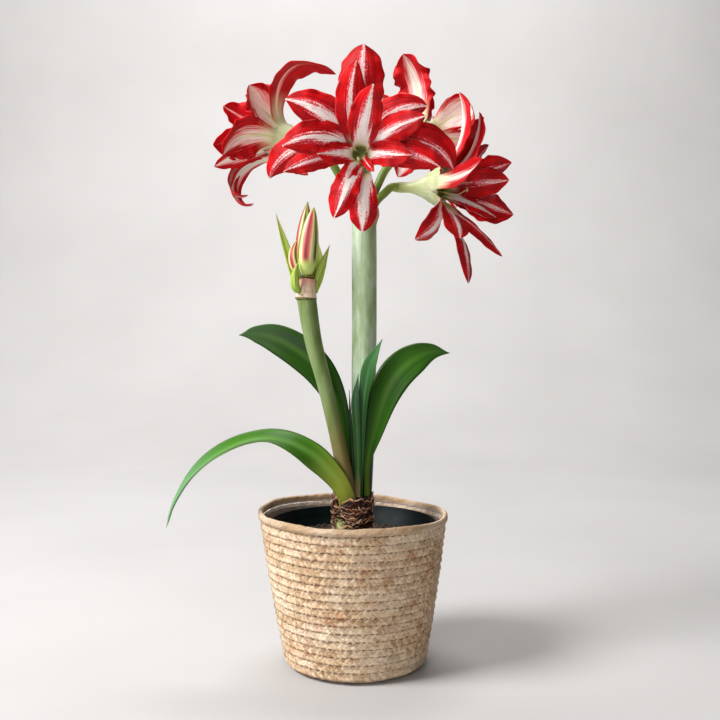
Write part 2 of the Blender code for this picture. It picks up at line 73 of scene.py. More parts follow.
def smoothPath(points, steps):
    path = [Vector(point) * mm for point in points]
    ends = [path[0] * 2 - path[1]] + path + [path[-1] * 2 - path[-2]]
    out = []
    for step in range(steps + 1):
        spot = min(step / steps * (len(path) - 1), len(path) - 1 - 1e-6)
        index = int(spot)
        out.append(throughFour(*ends[index:index + 4], spot - index))
    return out


def alongPath(path):
    last = len(path) - 1
    return [(path[min(i + 1, last)] - path[max(i - 1, 0)]).normalized() for i in range(last + 1)]


def roundPath(path):  # the same for a path that closes on itself
    heads = alongPath(path)
    heads[0] = heads[-1] = (path[1] - path[-2]).normalized()
    return heads


def sidesAlong(heads):  # a side for each step of a path, turned as little as possible
    sides = [heads[0].orthogonal().normalized()]
    for head in heads[1:]:
        sides.append((sides[-1] - head * sides[-1].dot(head)).normalized())
    return sides


def compass(angle):  # one step out from the upright axis
    return Vector((math.cos(angle), math.sin(angle), 0))


def onRing(angle, radius, height):
    return Vector((math.cos(angle) * radius, math.sin(angle) * radius, height)) * mm


def ripple(point, scale):  # soft noise, about -1 to 1, with bumps this many millimetres wide
    return noise.noise(point / (scale * mm))


# small helpers for meshes

def newBm():
    bm = bmesh.new()
    bm.loops.layers.uv.new("UVMap")
    bm.verts.layers.float.new("tint")
    bm.verts.layers.float.new("stripe")
    return bm


def laySheet(bm, across, along, place, tint=0.0):  # a grid, laid where place(s, t) says
    made = bmesh.ops.create_grid(bm, x_segments=across, y_segments=along, size=0.5, calc_uvs=True)["verts"]
    layer = bm.verts.layers.float["tint"]
    for vert in made:
        s, t = vert.co.x + 0.5, vert.co.y + 0.5
        vert.co = place(s, t)
        vert[layer] = tint(t) if callable(tint) else tint
    return made


def weld(bm, verts):
    bmesh.ops.remove_doubles(bm, verts=verts, dist=weldReach)


def rollSheet(bm, across, along, place, tint=0.0):  # a sheet whose two long edges meet
    weld(bm, laySheet(bm, across, along, place, tint))


def layTube(bm, path, radii, around=16, tint=0.0, shape=None):
    # a grid rolled round a path; shape(angle, place) swells or dents the round section
    steps = len(path) - 1
    heads = alongPath(path)
    sides = sidesAlong(heads)

    def place(s, t):
        index = round(t * steps)
        angle = math.tau * s
        radius = readAt(radii, t) * mm
        if shape:
            radius *= shape(angle, t)
        side = sides[index]
        return path[index] + (side * math.cos(angle) + heads[index].cross(side) * math.sin(angle)) * radius

    rollSheet(bm, around, steps, place, tint)


def faceOutwards(bm):
    bmesh.ops.recalc_face_normals(bm, faces=bm.faces)


def closeEnds(bm):
    bmesh.ops.holes_fill(bm, edges=[edge for edge in bm.edges if edge.is_boundary], sides=0)


def turn(bm, profile, steps=96):  # a profile of radius and height, spun round the upright axis
    verts = [bm.verts.new((radius * mm, 0, height * mm)) for radius, height in profile]
    edges = [bm.edges.new(pair) for pair in zip(verts, verts[1:])]
    bmesh.ops.spin(bm, geom=verts + edges, cent=(0, 0, 0), axis=(0, 0, 1), angle=math.tau, steps=steps,
                   use_merge=True, use_duplicate=False)
    weld(bm, bm.verts)
    faceOutwards(bm)


def linkMesh(name, bm, materials):
    mesh = bpy.data.meshes.new(name)
    bm.to_mesh(mesh)
    bm.free()
    for material in materials:
        mesh.materials.append(material)
    mesh.polygons.foreach_set("use_smooth", [True] * len(mesh.polygons))
    made = bpy.data.objects.new(name, mesh)
    bpy.context.scene.collection.objects.link(made)
    return made


def addPiece(name, bm, materials, slot, *nodes):
    piece = linkMesh(name, bm, materials)
    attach(piece, "root")
    if nodes:
        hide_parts(*nodes)
    return piece


def thicken(piece, thickness, back=0):  # back counts on to the material that the back and the rim have
    solid = piece.modifiers.new("thickness", "SOLIDIFY")
    solid.thickness = thickness * mm
    solid.offset = -1.0
    solid.material_offset = back
    solid.material_offset_rim = back
    solid.use_even_offset = False


# small helpers for materials

def tone(red, green, blue):  # a screen colour, 0 to 255, as the shader wants it
    values = []
    for channel in (red, green, blue):
        part = channel / 255
        values.append(part / 12.92 if part < 0.04045 else ((part + 0.055) / 1.055) ** 2.4)
    return (*values, 1.0)


def startMaterial(name, roughness, **fixed):
    material = bpy.data.materials.new(name)
    material.use_nodes = True
    shader = material.node_tree.nodes["Principled BSDF"]
    shader.inputs["Roughness"].default_value = roughness
    for key, value in fixed.items():
        shader.inputs[key.replace("_", " ")].default_value = value
    return material, material.node_tree, shader


def addNode(tree, kind, inputs=None, **settings):
    node = tree.nodes.new("ShaderNode" + kind)
    for name, value in settings.items():
        setattr(node, name, value)
    for name, value in (inputs or {}).items():
        if isinstance(value, bpy.types.NodeSocket):
            tree.links.new(value, node.inputs[name])
        else:
            node.inputs[name].default_value = value
    return node


def objectCoords(tree):
    return addNode(tree, "TexCoord").outputs["Object"]


def objectParts(tree):  # to the right, back and up, in metres
    return addNode(tree, "SeparateXYZ", {0: objectCoords(tree)}).outputs


def noiseOf(tree, coords, scale, detail=3.0, roughness=0.55):
    return addNode(tree, "TexNoise", {"Vector": coords, "Scale": scale, "Detail": detail,
                                      "Roughness": roughness}).outputs["Fac"]


def solidNoise(tree, scale, detail=3.0, roughness=0.55, stretch=None):  # noise that runs through the piece
    coords = objectCoords(tree)
    if stretch:
        coords = addNode(tree, "Mapping", {"Vector": coords, "Scale": stretch}).outputs["Vector"]
    return noiseOf(tree, coords, scale, detail, roughness)


def calc(tree, operation, first, second=0.0, third=0.0):
    return addNode(tree, "Math", {0: first, 1: second, 2: third}, operation=operation).outputs[0]


def times(tree, first, second):
    return calc(tree, "MULTIPLY", first, second)


def swayed(tree, base, noise, amount):  # the base, pushed up and down by a noise
    return calc(tree, "MULTIPLY_ADD", calc(tree, "SUBTRACT", noise, 0.5), amount, base)


def graded(tree, value, low, high, bottom=0.0, top=1.0):
    return addNode(tree, "MapRange", {"Value": value, "From Min": low, "From Max": high, "To Min": bottom,
                                      "To Max": top}, interpolation_type="SMOOTHSTEP").outputs["Result"]


def mixed(tree, factor, first, second, blend="MIX"):
    return addNode(tree, "Mix", {0: factor, 6: first, 7: second}, data_type="RGBA",
                   blend_type=blend).outputs[2]


def ramped(tree, factor, stops):
    node = addNode(tree, "ValToRGB", {"Fac": factor})
    elements = node.color_ramp.elements
    while len(elements) < len(stops):
        elements.new(0.5)
    for element, (position, colour) in zip(elements, stops):
        element.position = position
        element.color = colour if isinstance(colour, tuple) else (colour, colour, colour, 1)
    return node.outputs["Color"]


def bumped(tree, shader, height, strength, distance):
    node = addNode(tree, "Bump", {"Height": height, "Strength": strength, "Distance": distance * mm})
    tree.links.new(node.outputs["Normal"], shader.inputs["Normal"])


def colourFrom(tree, shader, socket):
    tree.links.new(socket, shader.inputs["Base Color"])


def roughFrom(tree, shader, value, low, high):
    tree.links.new(graded(tree, value, 0, 1, low, high), shader.inputs["Roughness"])


def tintOf(tree):
    return addNode(tree, "Attribute", attribute_name="tint").outputs["Fac"]


def sheetPlace(tree):  # across and along the sheet, each 0 to 1
    parts = addNode(tree, "SeparateXYZ", {0: addNode(tree, "UVMap", uv_map="UVMap").outputs["UV"]}).outputs
    return parts[0], parts[1]


def offMiddle(tree, across):  # how far from the middle, 0 to 1
    return calc(tree, "ABSOLUTE", calc(tree, "MULTIPLY_ADD", across, 2.0, -1.0))


def streaksOf(tree, across, along, wide, long, seed, detail=2.0):
    # noise drawn out along the sheet: `wide` streaks across it and `long` along it
    x = calc(tree, "MULTIPLY_ADD", across, wide, times(tree, seed, 61.0))
    y = calc(tree, "MULTIPLY_ADD", along, long, times(tree, seed, 23.0))
    coords = addNode(tree, "CombineXYZ", {0: x, 1: y, 2: seed}).outputs[0]
    return noiseOf(tree, coords, 1.0, detail)


# the basket's straw

def strawMaterial(name, light, streakScale, shift=0.0, facets=0.24):
    material, tree, shader = startMaterial(name, 0.8)
    across, along = sheetPlace(tree)
    tint = tintOf(tree)
    wide, long = streakScale
    fibre = streaksOf(tree, across, along, wide, long, tint, 3.0)
    fine = streaksOf(tree, across, along, wide * 3, long * 1.6, tint)
    grain = calc(tree, "ADD", times(tree, fibre, 0.55), times(tree, fine, 0.45))
    grain = swayed(tree, grain, tint, facets)
    colour = ramped(tree, calc(tree, "ADD", grain, shift), (
        (0.24, tone(142, 102, 70)), (0.40, tone(180, 146, 112)), (0.56, light), (0.80, tone(232, 214, 188))))
    rusty = graded(tree, solidNoise(tree, 55.0), 0.56, 0.68, 0.0, 0.55)
    colour = mixed(tree, rusty, colour, tone(222, 168, 120), "MULTIPLY")
    threads = solidNoise(tree, 330.0, 1.0, stretch=(1, 1, 2.2))
    colour = mixed(tree, graded(tree, threads, 0.64, 0.72, 0, 0.6), colour, tone(150, 98, 60))
    marks = solidNoise(tree, 130.0, 4.0, 0.7, (1, 1, 1.6))
    colour = mixed(tree, graded(tree, marks, 0.62, 0.72, 0, 0.7), colour, tone(150, 92, 50))
    bright = graded(tree, solidNoise(tree, 17.0, 2.0, stretch=(1, 1, 2.4)), 0.42, 0.68, 0, 0.3)
    colour = mixed(tree, bright, colour, tone(246, 234, 214))
    colourFrom(tree, shader, colour)
    bumped(tree, shader, calc(tree, "MULTIPLY_ADD", fine, 0.6, grain), 1.0, 0.6)
    return material


basket = {
    "rimRadius": 91.5, "footRadius": 68.5, "height": 147.5,
    "rowPitch": 7.5, "rowTop": 136.2, "rows": 18,   # wall rows, counted down from the rim roll
    "upperRows": 9,                                 # of these, the ones in the upper piece
    "rowInset": 2.0, "rowTilt": 0.22,               # in radians, as cornerLooks is
    "cornerInset": 5.4, "cornerHeight": 2.9, "cornerLooks": -1.25,
    "baseInset": 13.0, "baseHeight": 2.2, "baseHole": 5,
    "braidPeriod": 12.5, "braidReach": 2.0, "braidWeave": 0.32, "braidWander": 0.15,
    "strands": 3, "strandWidth": 4.5, "strandThickness": 1.3, "strandUneven": 0.10,
    "rimHeight": 7.2, "rimDepth": 4.6, "rimStrands": 13, "rimLaps": 26, "rimSteps": 468,
    "rimStrandRadius": 1.12, "rimStrandSwell": 0.12, "rimStrandInset": (0.9, 1.0), "rimLump": 0.10,
    "stitchPitch": 6.0, "stitchLength": 3.6, "stitchOut": 1.55, "stitchBow": 0.9, "stitchSlant": (0.9, 1.9),
    "shadowDashHalves": (0.3, 0.8, 1.4, 1.8, 2.2), "shadowDashRadius": (0.2, 0.55),
    "coreTop": 137, "wall": 5.6,
    "leanRight": 2.5, "bulge": 1.2, "bulgeWander": 0.7, "rowWander": (0.55, 0.35),
    "rimDrop": 0.5, "rimTilt": 2.0, "rimLowAt": 50, "rimWave": 0.5,
    "backLift": 3.2, "backLiftAt": 125,             # the rim stands a little higher at the back left
}


def basketSpot(angle, radius, height):  # the basket leans a little, its rim isn't level and its rows wander
    angle %= math.tau
    part = height / basket["height"]
    swell = basket["bulge"] * math.sin(math.pi * min(max(part, 0), 1))
    low = math.cos(angle - math.radians(basket["rimLowAt"]))
    lift = part * (-basket["rimDrop"] - basket["rimTilt"] * low)
    back = max(0, math.cos(angle - math.radians(basket["backLiftAt"])))
    lift += part ** 3 * (basket["backLift"] * back ** 1.5 + basket["rimWave"] * math.sin(angle * 5 + 1))
    slow, quick = basket["rowWander"]
    lift += (slow * noise.noise((angle * 2.2, height * 0.03, 0.5))
             + quick * noise.noise((angle * 9, height * 0.09, 4)))
    swell += basket["bulgeWander"] * noise.noise((angle * 5, height * 0.11, 8))
    spot = compass(angle) * (radius + swell)
    return (spot + Vector((basket["leanRight"] * (1 - part), 0, height + lift))) * mm


def basketRows():  # radius, height and which way each braided row looks, from the rim down
    foot, rim = basket["footRadius"], basket["rimRadius"]
    slope = math.atan2(rim - foot, basket["height"])
    rows = []
    for row in range(basket["rows"]):
        height = basket["rowTop"] - row * basket["rowPitch"]
        radius = between(foot, rim, height / basket["height"]) - basket["rowInset"]
        rows.append((radius, height, basket["rowTilt"] - slope))
    rows.append((foot - basket["cornerInset"], basket["cornerHeight"], basket["cornerLooks"]))
    radius = foot - basket["baseInset"]
    while radius > basket["baseHole"]:
        rows.append((radius, basket["baseHeight"], -math.pi / 2))
        radius -= basket["rowPitch"]
    return rows


def braidRow(bm, radius, height, looks, stepsEach):
    strands = basket["strands"]
    turns = max(2, round(math.tau * radius / basket["braidPeriod"]))
    steps = turns * stepsEach
    start = random.random() * math.tau
    facetTints = [random.random() for _ in range(2 * strands * turns + 12)]
    tilt = Vector((math.cos(looks), math.sin(looks)))       # outward, in the section
    rise = Vector((-math.sin(looks), math.cos(looks)))      # across the row, in the section
    for strand in range(strands):
        lag = math.tau * strand / strands
        spots = []
        for step in range(steps + 1):
            angle = math.tau * step / steps
            phase = turns * angle + lag
            wander = basket["braidWander"] * math.sin(angle * 7 + strand * 2.1 + start)
            across = basket["braidReach"] * math.sin(phase) + wander
            out = basket["braidWeave"] * math.sin(2 * phase)
            spot = Vector((radius, height)) + rise * across + tilt * out
            spots.append(basketSpot(angle + start, spot.x, spot.y))
        heads = roundPath(spots)

        def place(s, t):
            index = round(t * steps)
            angle = math.tau * index / steps + start
            outward = Vector((math.cos(angle) * tilt.x, math.sin(angle) * tilt.x, tilt.y))
            side = outward.cross(heads[index]).normalized()
            turned = math.tau * s
            wide = basket["strandWidth"] / 2 * (1 + basket["strandUneven"] * math.sin(index * 1.7 + strand))
            return (spots[index] + side * math.cos(turned) * wide * mm
                    - outward * math.sin(turned) * basket["strandThickness"] / 2 * mm)

        def facetTint(t):  # each facet that shows between two crossings has its own
            return facetTints[int((turns * math.tau * t + lag) / math.pi + strand * 2 * turns)]

        rollSheet(bm, 6, steps, place, facetTint)


def basketWall():
    straw = strawMaterial("straw braid", tone(218, 190, 155), (5.0, 60.0), facets=0.26)
    rows = basketRows()
    middle, corner = basket["upperRows"], basket["rows"] + 1
    parts = (("basket_braid_upper", rows[:middle], 9), ("basket_braid_lower", rows[middle:corner], 9),
             ("basket_base", rows[corner:], 6))
    for name, some, stepsEach in parts:
        bm = newBm()
        for radius, height, looks in some:
            braidRow(bm, radius, height, looks, stepsEach)
        faceOutwards(bm)
        addPiece(name, bm, [straw], "straw_braid", "basket")


def basketRim():
    straw = strawMaterial("rim straw", tone(182, 154, 122), (3.0, 150.0), facets=0.16)
    middle = basket["height"] - basket["rimHeight"] / 2
    radius = basket["rimRadius"] - basket["rimDepth"] / 2
    strands, steps = basket["rimStrands"], basket["rimSteps"]
    insetOut, insetUp = basket["rimStrandInset"]
    bm = newBm()
    for strand in range(strands):
        spots = []
        for step in range(steps + 1):
            angle = math.tau * step / steps
            phase = basket["rimLaps"] * angle + math.tau * strand / strands
            lump = 1 + basket["rimLump"] * math.sin(angle * 13 + 2 * math.sin(angle * 4))
            spot = Vector((radius + math.cos(phase) * (basket["rimDepth"] / 2 - insetOut) * lump,
                           middle + math.sin(phase) * (basket["rimHeight"] / 2 - insetUp) * lump))
            spots.append(basketSpot(angle, spot.x, spot.y))
        heads = roundPath(spots)

        def place(s, t):
            index = round(t * steps)
            turned = math.tau * s
            side = up.cross(heads[index]).normalized()
            swell = basket["rimStrandSwell"] * math.sin(index * 0.37 + strand * 1.3)
            size = (basket["rimStrandRadius"] + swell) * mm
            return spots[index] + (side * math.cos(turned) - up * math.sin(turned)) * size

        rollSheet(bm, 5, steps, place, random.random())
    faceOutwards(bm)
    addPiece("basket_rim_roll", bm, [straw], "straw_braid", "basket")


def layShadowDash(bm, middle, radius, height, looks):  # a dark dash between two rows: painted shade for the shadowed gaps along the seam
    half = random.choice(basket["shadowDashHalves"]) / radius
    dash = [basketSpot(middle + half * spot, radius + 0.8 * math.cos(looks), height - 0.3 + 0.25 * spot)
            for spot in (-1, -0.4, 0.4, 1)]
    thick = random.uniform(*basket["shadowDashRadius"])
    layTube(bm, dash, [0.1, thick, thick, 0.1], 4)


def layStitch(bm, angle, radius, height, looks):  # a slanting stitch of straw over the seam
    reach = basket["stitchLength"] / 2 * random.uniform(0.75, 1.15)
    slant = random.uniform(*basket["stitchSlant"])
    path = []
    for spot in (-1, -0.45, 0.45, 1):
        out = basket["stitchOut"] - basket["stitchBow"] * spot ** 4
        path.append(basketSpot(angle + spot * slant / radius,
                               radius + out * math.cos(looks) - reach * spot * math.sin(looks),
                               height + reach * spot * math.cos(looks) + out * math.sin(looks)))
    layTube(bm, path, [0.15, 0.36, 0.36, 0.15], 4, tint=random.random())


def basketStitches():
    straw = strawMaterial("stitching straw", tone(226, 204, 170), (1.0, 6.0), 0.06)
    # the dashes' dark browns are painted shade: thin tubes standing for the shadowed gaps between the rows
    shade, tree, shader = startMaterial("painted seam shadow", 0.9)
    colourFrom(tree, shader, ramped(tree, solidNoise(tree, 260.0, 2.0), (
        (0.3, tone(92, 58, 34)), (0.7, tone(148, 104, 66)))))
    rows = basketRows()[:basket["rows"] + 1]
    radius, height, looks = rows[0]
    seams = [(radius + 0.6, height + basket["rowPitch"] / 2 + 0.3, looks)]
    for above, below in zip(rows, rows[1:]):
        seams.append([(high + low) / 2 for high, low in zip(above, below)])
    bm, sunk = newBm(), newBm()
    for radius, height, looks in seams:
        count = round(math.tau * radius / basket["stitchPitch"])
        shift = random.random()
        for stitch in range(count):
            middle = (stitch + shift + 0.5 + random.uniform(-0.1, 0.1)) / count * math.tau
            layShadowDash(sunk, middle, radius, height, looks)
            angle = math.tau * (stitch + shift + random.uniform(-0.12, 0.12)) / count
            layStitch(bm, angle, radius, height, looks)
    faceOutwards(bm)
    faceOutwards(sunk)
    addPiece("basket_stitches", bm, [straw], "straw_braid", "basket")
    addPiece("basket_seam_shadow_dashes", sunk, [shade], "straw_braid", "basket")


def basketCore():  # the backing seen between the rows, coloured dark brown as painted shade for the gaps
    material, tree, shader = startMaterial("straw core in painted shade", 0.9)
    colourFrom(tree, shader, ramped(tree, solidNoise(tree, 140.0, stretch=(1, 1, 6)), (
        (0.35, tone(58, 36, 20)), (0.7, tone(112, 76, 46)))))
    bumped(tree, shader, solidNoise(tree, 300.0, stretch=(1, 1, 6)), 0.6, 0.4)
    foot, top = basket["footRadius"], basket["coreTop"]
    rim = between(foot, basket["rimRadius"], 0.93)
    bm = newBm()
    turn(bm, [(2.0, 2.6), (foot - 7, 2.6), (foot - 3.0, 6.0), (rim - 2.6, top), (rim - 3.4, top),
              (foot - 4.0, 6.6), (foot - 7.6, 3.4), (2.0, 3.4), (2.0, 2.6)])
    for vert in bm.verts:
        flat = Vector((vert.co.x, vert.co.y))
        vert.co = basketSpot(math.atan2(flat.y, flat.x), flat.length / mm, vert.co.z / mm)
    addPiece("basket_core", bm, [material], "straw_braid", "basket")


basketWall()
basketRim()
basketStitches()
basketCore()
print("basket braided")


# the liner, the nursery pot and what is in it

pot = {
    "linerTop": 142.5, "linerFoot": 8, "linerGap": 0.9, "linerCrinkle": 0.9, "linerThickness": 0.3,
    "linerWaves": (1.1, 0.5),
    "top": 137.0, "floor": 7.0, "band": 9.0, "bandGap": 1.9, "bandDepth": 1.6,
    "footRadius": 58.0, "wall": 1.2,
    "soilTop": 120.0, "soilHole": 14, "soilGap": 7.0, "soilLumps": (1.6, 1.1), "soilMound": 1.5,
    "crumbs": 260, "crumbSize": (0.8, 2.6), "crumbsFrom": 23,
}


def insideBasket(height):
    return between(basket["footRadius"], basket["rimRadius"], height / basket["height"]) - basket["wall"]


def liner():
    material, tree, shader = startMaterial("clear liner", 0.10, Alpha=0.07, IOR=1.45)
    crinkle = solidNoise(tree, 90.0, 2.0, stretch=(1, 1, 0.35))
    colourFrom(tree, shader, ramped(tree, crinkle, ((0.3, tone(214, 218, 216)), (0.7, tone(244, 246, 245)))))
    bumped(tree, shader, crinkle, 0.5, 1.2)
    slow, quick = pot["linerWaves"]

    def place(s, t):
        angle = math.tau * s
        top = pot["linerTop"] + slow * math.sin(angle * 3 + 0.7) + quick * math.sin(angle * 11)
        height = between(pot["linerFoot"], top, t)
        wave = pot["linerCrinkle"] * ease(t, 0.75, 1) * math.sin(angle * 17 + 2 * math.sin(angle * 5))
        radius = insideBasket(height) - pot["linerGap"] + 0.4 * wave
        return compass(angle) * radius * mm + Vector((0, 0, height * mm))

    bm = newBm()
    rollSheet(bm, 140, 16, place)
    piece = addPiece("basket_liner_film", bm, [material], "clear_liner", "basket_liner")
    thicken(piece, pot["linerThickness"])


def nurseryPot():
    material, tree, shader = startMaterial("black moulded plastic", 0.5, Specular_IOR_Level=0.12)
    scuff = solidNoise(tree, 60.0, 4.0)
    colourFrom(tree, shader, ramped(tree, scuff, ((0.35, tone(0, 5, 5)), (0.75, tone(3, 19, 19)))))
    roughFrom(tree, shader, scuff, 0.4, 0.62)
    bumped(tree, shader, solidNoise(tree, 900.0, 2.0), 0.12, 0.2)
    top, floor, foot, wall = pot["top"], pot["floor"], pot["footRadius"], pot["wall"]
    bandBottom = top - pot["band"]
    outer = insideBasket(bandBottom) - pot["bandGap"]
    waist = outer - pot["bandDepth"]
    profile = [(0.0, floor), (foot - 1, floor), (foot, floor + 1.0), (waist, bandBottom),
               (outer - 0.3, bandBottom + 0.2), (outer, bandBottom + 0.8), (outer, top - 0.5),
               (outer - 0.4, top), (outer - wall + 0.3, top), (outer - wall, top - 0.4),
               (outer - wall, bandBottom + 0.6),
               (waist - wall, bandBottom - 0.6), (foot - wall, floor + 2.2), (0.0, floor + 2.2)]
    bm = newBm()
    turn(bm, profile, 128)
    addPiece("nursery_pot_shell", bm, [material], "pot_plastic", "nursery_pot")


def soil():
    material, tree, shader = startMaterial("damp potting soil", 0.95)
    crumb = solidNoise(tree, 420.0, 5.0, 0.7)
    colourFrom(tree, shader, ramped(tree, crumb, (
        (0.3, tone(20, 13, 9)), (0.55, tone(46, 32, 22)), (0.75, tone(96, 68, 46)))))
    bumped(tree, shader, crumb, 1.0, 1.2)
    top = pot["soilTop"]
    reach = insideBasket(top) - pot["soilGap"]
    wide, small = pot["soilLumps"]

    def place(s, t):
        spot = onRing(math.tau * s, between(pot["soilHole"], reach, t), top)
        lump = wide * ripple(spot, 9) + small * ripple(spot, 3.4) + pot["soilMound"] * ease(1 - t, 0.6, 1)
        return spot + up * (lump - 1.0) * mm

    bm = newBm()
    rollSheet(bm, 120, 30, place)
    faceOutwards(bm)
    for _ in range(pot["crumbs"]):
        angle = random.random() * math.tau
        radius = math.sqrt(random.uniform(pot["crumbsFrom"] ** 2, (reach - 2) ** 2))
        size = random.uniform(*pot["crumbSize"])
        ball = bmesh.ops.create_icosphere(bm, subdivisions=1, radius=size * mm)["verts"]
        turned = Matrix.Rotation(random.random() * 6, 3, Vector((random.random(), random.random(), 1)))
        stretch = Vector((1, random.uniform(0.5, 1), random.uniform(0.4, 0.8)))
        for vert in ball:
            vert.co = turned @ (vert.co * (1 + 0.3 * ripple(vert.co, 1.1)) * stretch)
            vert.co += onRing(angle, radius, top)
    addPiece("potting_soil_top", bm, [material], "potting_soil", "soil")


liner()
nurseryPot()
soil()
print("pot, liner and soil placed")


# the bulb: its buried body, and the neck with its dry, flaking tunics

bulb = {
    "radius": 40.0, "widest": 84.0, "bottom": 46.0, "neckRadius": 19.0, "neckFrom": 122, "neckTop": 166.0,
    "skinInset": 1.3, "ripple": 0.7, "rippleFrom": 112,
    "dip": 4.0, "dipAngle": 5.3,                    # the neck's top dips at the front right; in radians
    "flakes": 330, "flakeWidth": (5.0, 20.0), "flakeHeight": (0.5, 2.2), "flakeFrom": 119.0, "flakeTo": 166.0,
    "flakeCurl": (0.4, 3.0), "flakeSlant": 0.34, "flakeBow": 2.6, "flakeNotch": (0.5, 2.0), "flakeDip": 3.0,
    "flakeThickness": 0.35, "flakeBend": 20,        # the radius that a flake's width is bent to
    "bareAngle": 229, "bareCosine": 0.955, "bareTop": 142,          # where the green flesh shows
}


def bulbRadius(height):
    if height < bulb["widest"]:
        part = (height - bulb["bottom"]) / (bulb["widest"] - bulb["bottom"])
        return bulb["radius"] * math.sqrt(max(0.02, 1 - (1 - part) ** 2))
    return between(bulb["radius"], bulb["neckRadius"], ease(height, bulb["widest"], bulb["neckFrom"]))


def bulbBody():
    material, tree, shader = startMaterial("bulb skin in painted shade", 0.7)
    grain = solidNoise(tree, 130.0, 4.0, stretch=(3, 3, 0.7))
    right, _, height = objectParts(tree)
    # the skin's near-black browns are partly its own colour and partly painted shade, for the dark gaps
    # between the tunic flakes
    skin = ramped(tree, grain, ((0.3, tone(9, 4, 2)), (0.55, tone(28, 13, 7)), (0.8, tone(80, 42, 25))))
    slanted = calc(tree, "ADD", right, height)
    ragged = calc(tree, "MULTIPLY_ADD", grain, 0.014, height)
    green = times(tree, graded(tree, ragged, 0.150, 0.148), graded(tree, slanted, 0.132, 0.130))
    flesh = mixed(tree, graded(tree, grain, 0.4, 0.65), tone(170, 186, 104), tone(218, 222, 170))
    colourFrom(tree, shader, mixed(tree, green, skin, flesh))
    bumped(tree, shader, grain, 0.9, 1.0)
    rings = 60

    def place(s, t):
        height = between(bulb["bottom"], bulb["neckTop"] - 1, round(t * rings) / rings)
        angle = math.tau * s
        radius = bulbRadius(height) - bulb["skinInset"]
        spot = compass(angle) * radius * mm + Vector((0, 0, height * mm))
        spot.z -= bulb["dip"] * mm * ease(math.cos(angle - bulb["dipAngle"]), 0.5, 1) * ease(height, 145, 165)
        if height > bulb["rippleFrom"]:
            spot += compass(angle) * ripple(spot, 6) * bulb["ripple"] * mm
        return spot

    bm = newBm()
    rollSheet(bm, 56, rings, place)
    closeEnds(bm)
    faceOutwards(bm)
    addPiece("bulb_body", bm, [material], "bulb_flesh", "bulb")


def tunicFlakes():
    material, tree, shader = startMaterial("dry tunic", 0.27, Specular_IOR_Level=0.7)
    across, along = sheetPlace(tree)
    tint = tintOf(tree)
    grain = streaksOf(tree, across, along, 3.0, 9.0, tint, 4.0)
    colour = ramped(tree, calc(tree, "MULTIPLY_ADD", tint, 0.35, times(tree, grain, 0.75)), (
        (0.30, tone(18, 6, 3)), (0.48, tone(84, 36, 15)), (0.64, tone(158, 84, 44)),
        (0.88, tone(244, 190, 140))))
    # painted highlight: each flake's upper rim is mixed towards pale peach, where light catches the curled
    # edge
    edge = times(tree, graded(tree, along, 0.70, 1.0), graded(tree, tint, 0.2, 0.9))
    colour = mixed(tree, times(tree, edge, 0.75), colour, tone(250, 212, 174))
    colourFrom(tree, shader, colour)
    bumped(tree, shader, grain, 0.7, 0.5)
    bm = newBm()
    for flake in range(bulb["flakes"]):
        part = (flake + 0.5) / bulb["flakes"]
        low = between(bulb["flakeFrom"], bulb["flakeTo"], part) - 3 + random.uniform(-2.5, 2.5)
        angle = random.random() * math.tau
        facing = math.cos(angle - math.radians(bulb["bareAngle"]))
        if low < bulb["bareTop"] and facing > bulb["bareCosine"]:
            continue
        wide = random.uniform(*bulb["flakeWidth"])
        tall = random.uniform(*bulb["flakeHeight"])
        curl = random.uniform(*bulb["flakeCurl"])
        slant = random.uniform(-bulb["flakeSlant"], bulb["flakeSlant"])
        bow = random.uniform(-bulb["flakeBow"], bulb["flakeBow"])
        notch = random.uniform(*bulb["flakeNotch"])

        def place(s, t):
            across = 2 * s - 1
            full = math.sqrt(max(0, 1 - across * across))
            turned = angle + across * wide / 2 / bulb["flakeBend"]
            dip = bulb["flakeDip"] * ease(math.cos(angle - bulb["dipAngle"]), 0.6, 1)
            rise = tall * t * (0.25 + 0.75 * full) + slant * across * wide / 2 + bow * (1 - across * across)
            rise += notch * t * math.sin(across * 5 + flake * 1.9) - dip
            out = bulbRadius(low + rise) - 0.4 + curl * t ** 1.6 * (0.4 + 0.6 * full)
            out += 0.6 * math.sin(across * 6 + flake) * t
            return onRing(turned, out, low + rise)

        laySheet(bm, 10, 4, place, random.random())
    faceOutwards(bm)
    piece = addPiece("tunic_flakes", bm, [material], "bulb_skin", "bulb_tunics")
    thicken(piece, bulb["flakeThickness"])


bulbBody()
tunicFlakes()
print("bulb neck flaked")


# the scapes

def stemMaterial(name, fresh, bloom, dark, darkFrom, darkTo):
    material, tree, shader = startMaterial(name, 0.5, Subsurface_Weight=0.08, Subsurface_Scale=0.004,
                                           Specular_IOR_Level=0.3)
    across, along = sheetPlace(tree)
    lines = streaksOf(tree, across, along, 70.0, 2.5, tintOf(tree))
    dust = solidNoise(tree, 70.0, 4.0, stretch=(1, 1, 0.3))
    colour = mixed(tree, graded(tree, dust, 0.3, 0.7), fresh, bloom)
    colour = mixed(tree, graded(tree, lines, 0.42, 0.7, 0, 0.6), colour, fresh)
    low = calc(tree, "ADD", objectParts(tree)[2], times(tree, dust, -0.02))
    colour = mixed(tree, graded(tree, low, darkFrom, darkTo), colour, dark)
    spots = solidNoise(tree, 420.0, 1.0)
    colour = mixed(tree, graded(tree, spots, 0.70, 0.78, 0, 0.25), colour, tone(120, 100, 70))
    colourFrom(tree, shader, colour)
    roughFrom(tree, shader, dust, 0.34, 0.58)
    bumped(tree, shader, lines, 0.35, 0.3)
    return material


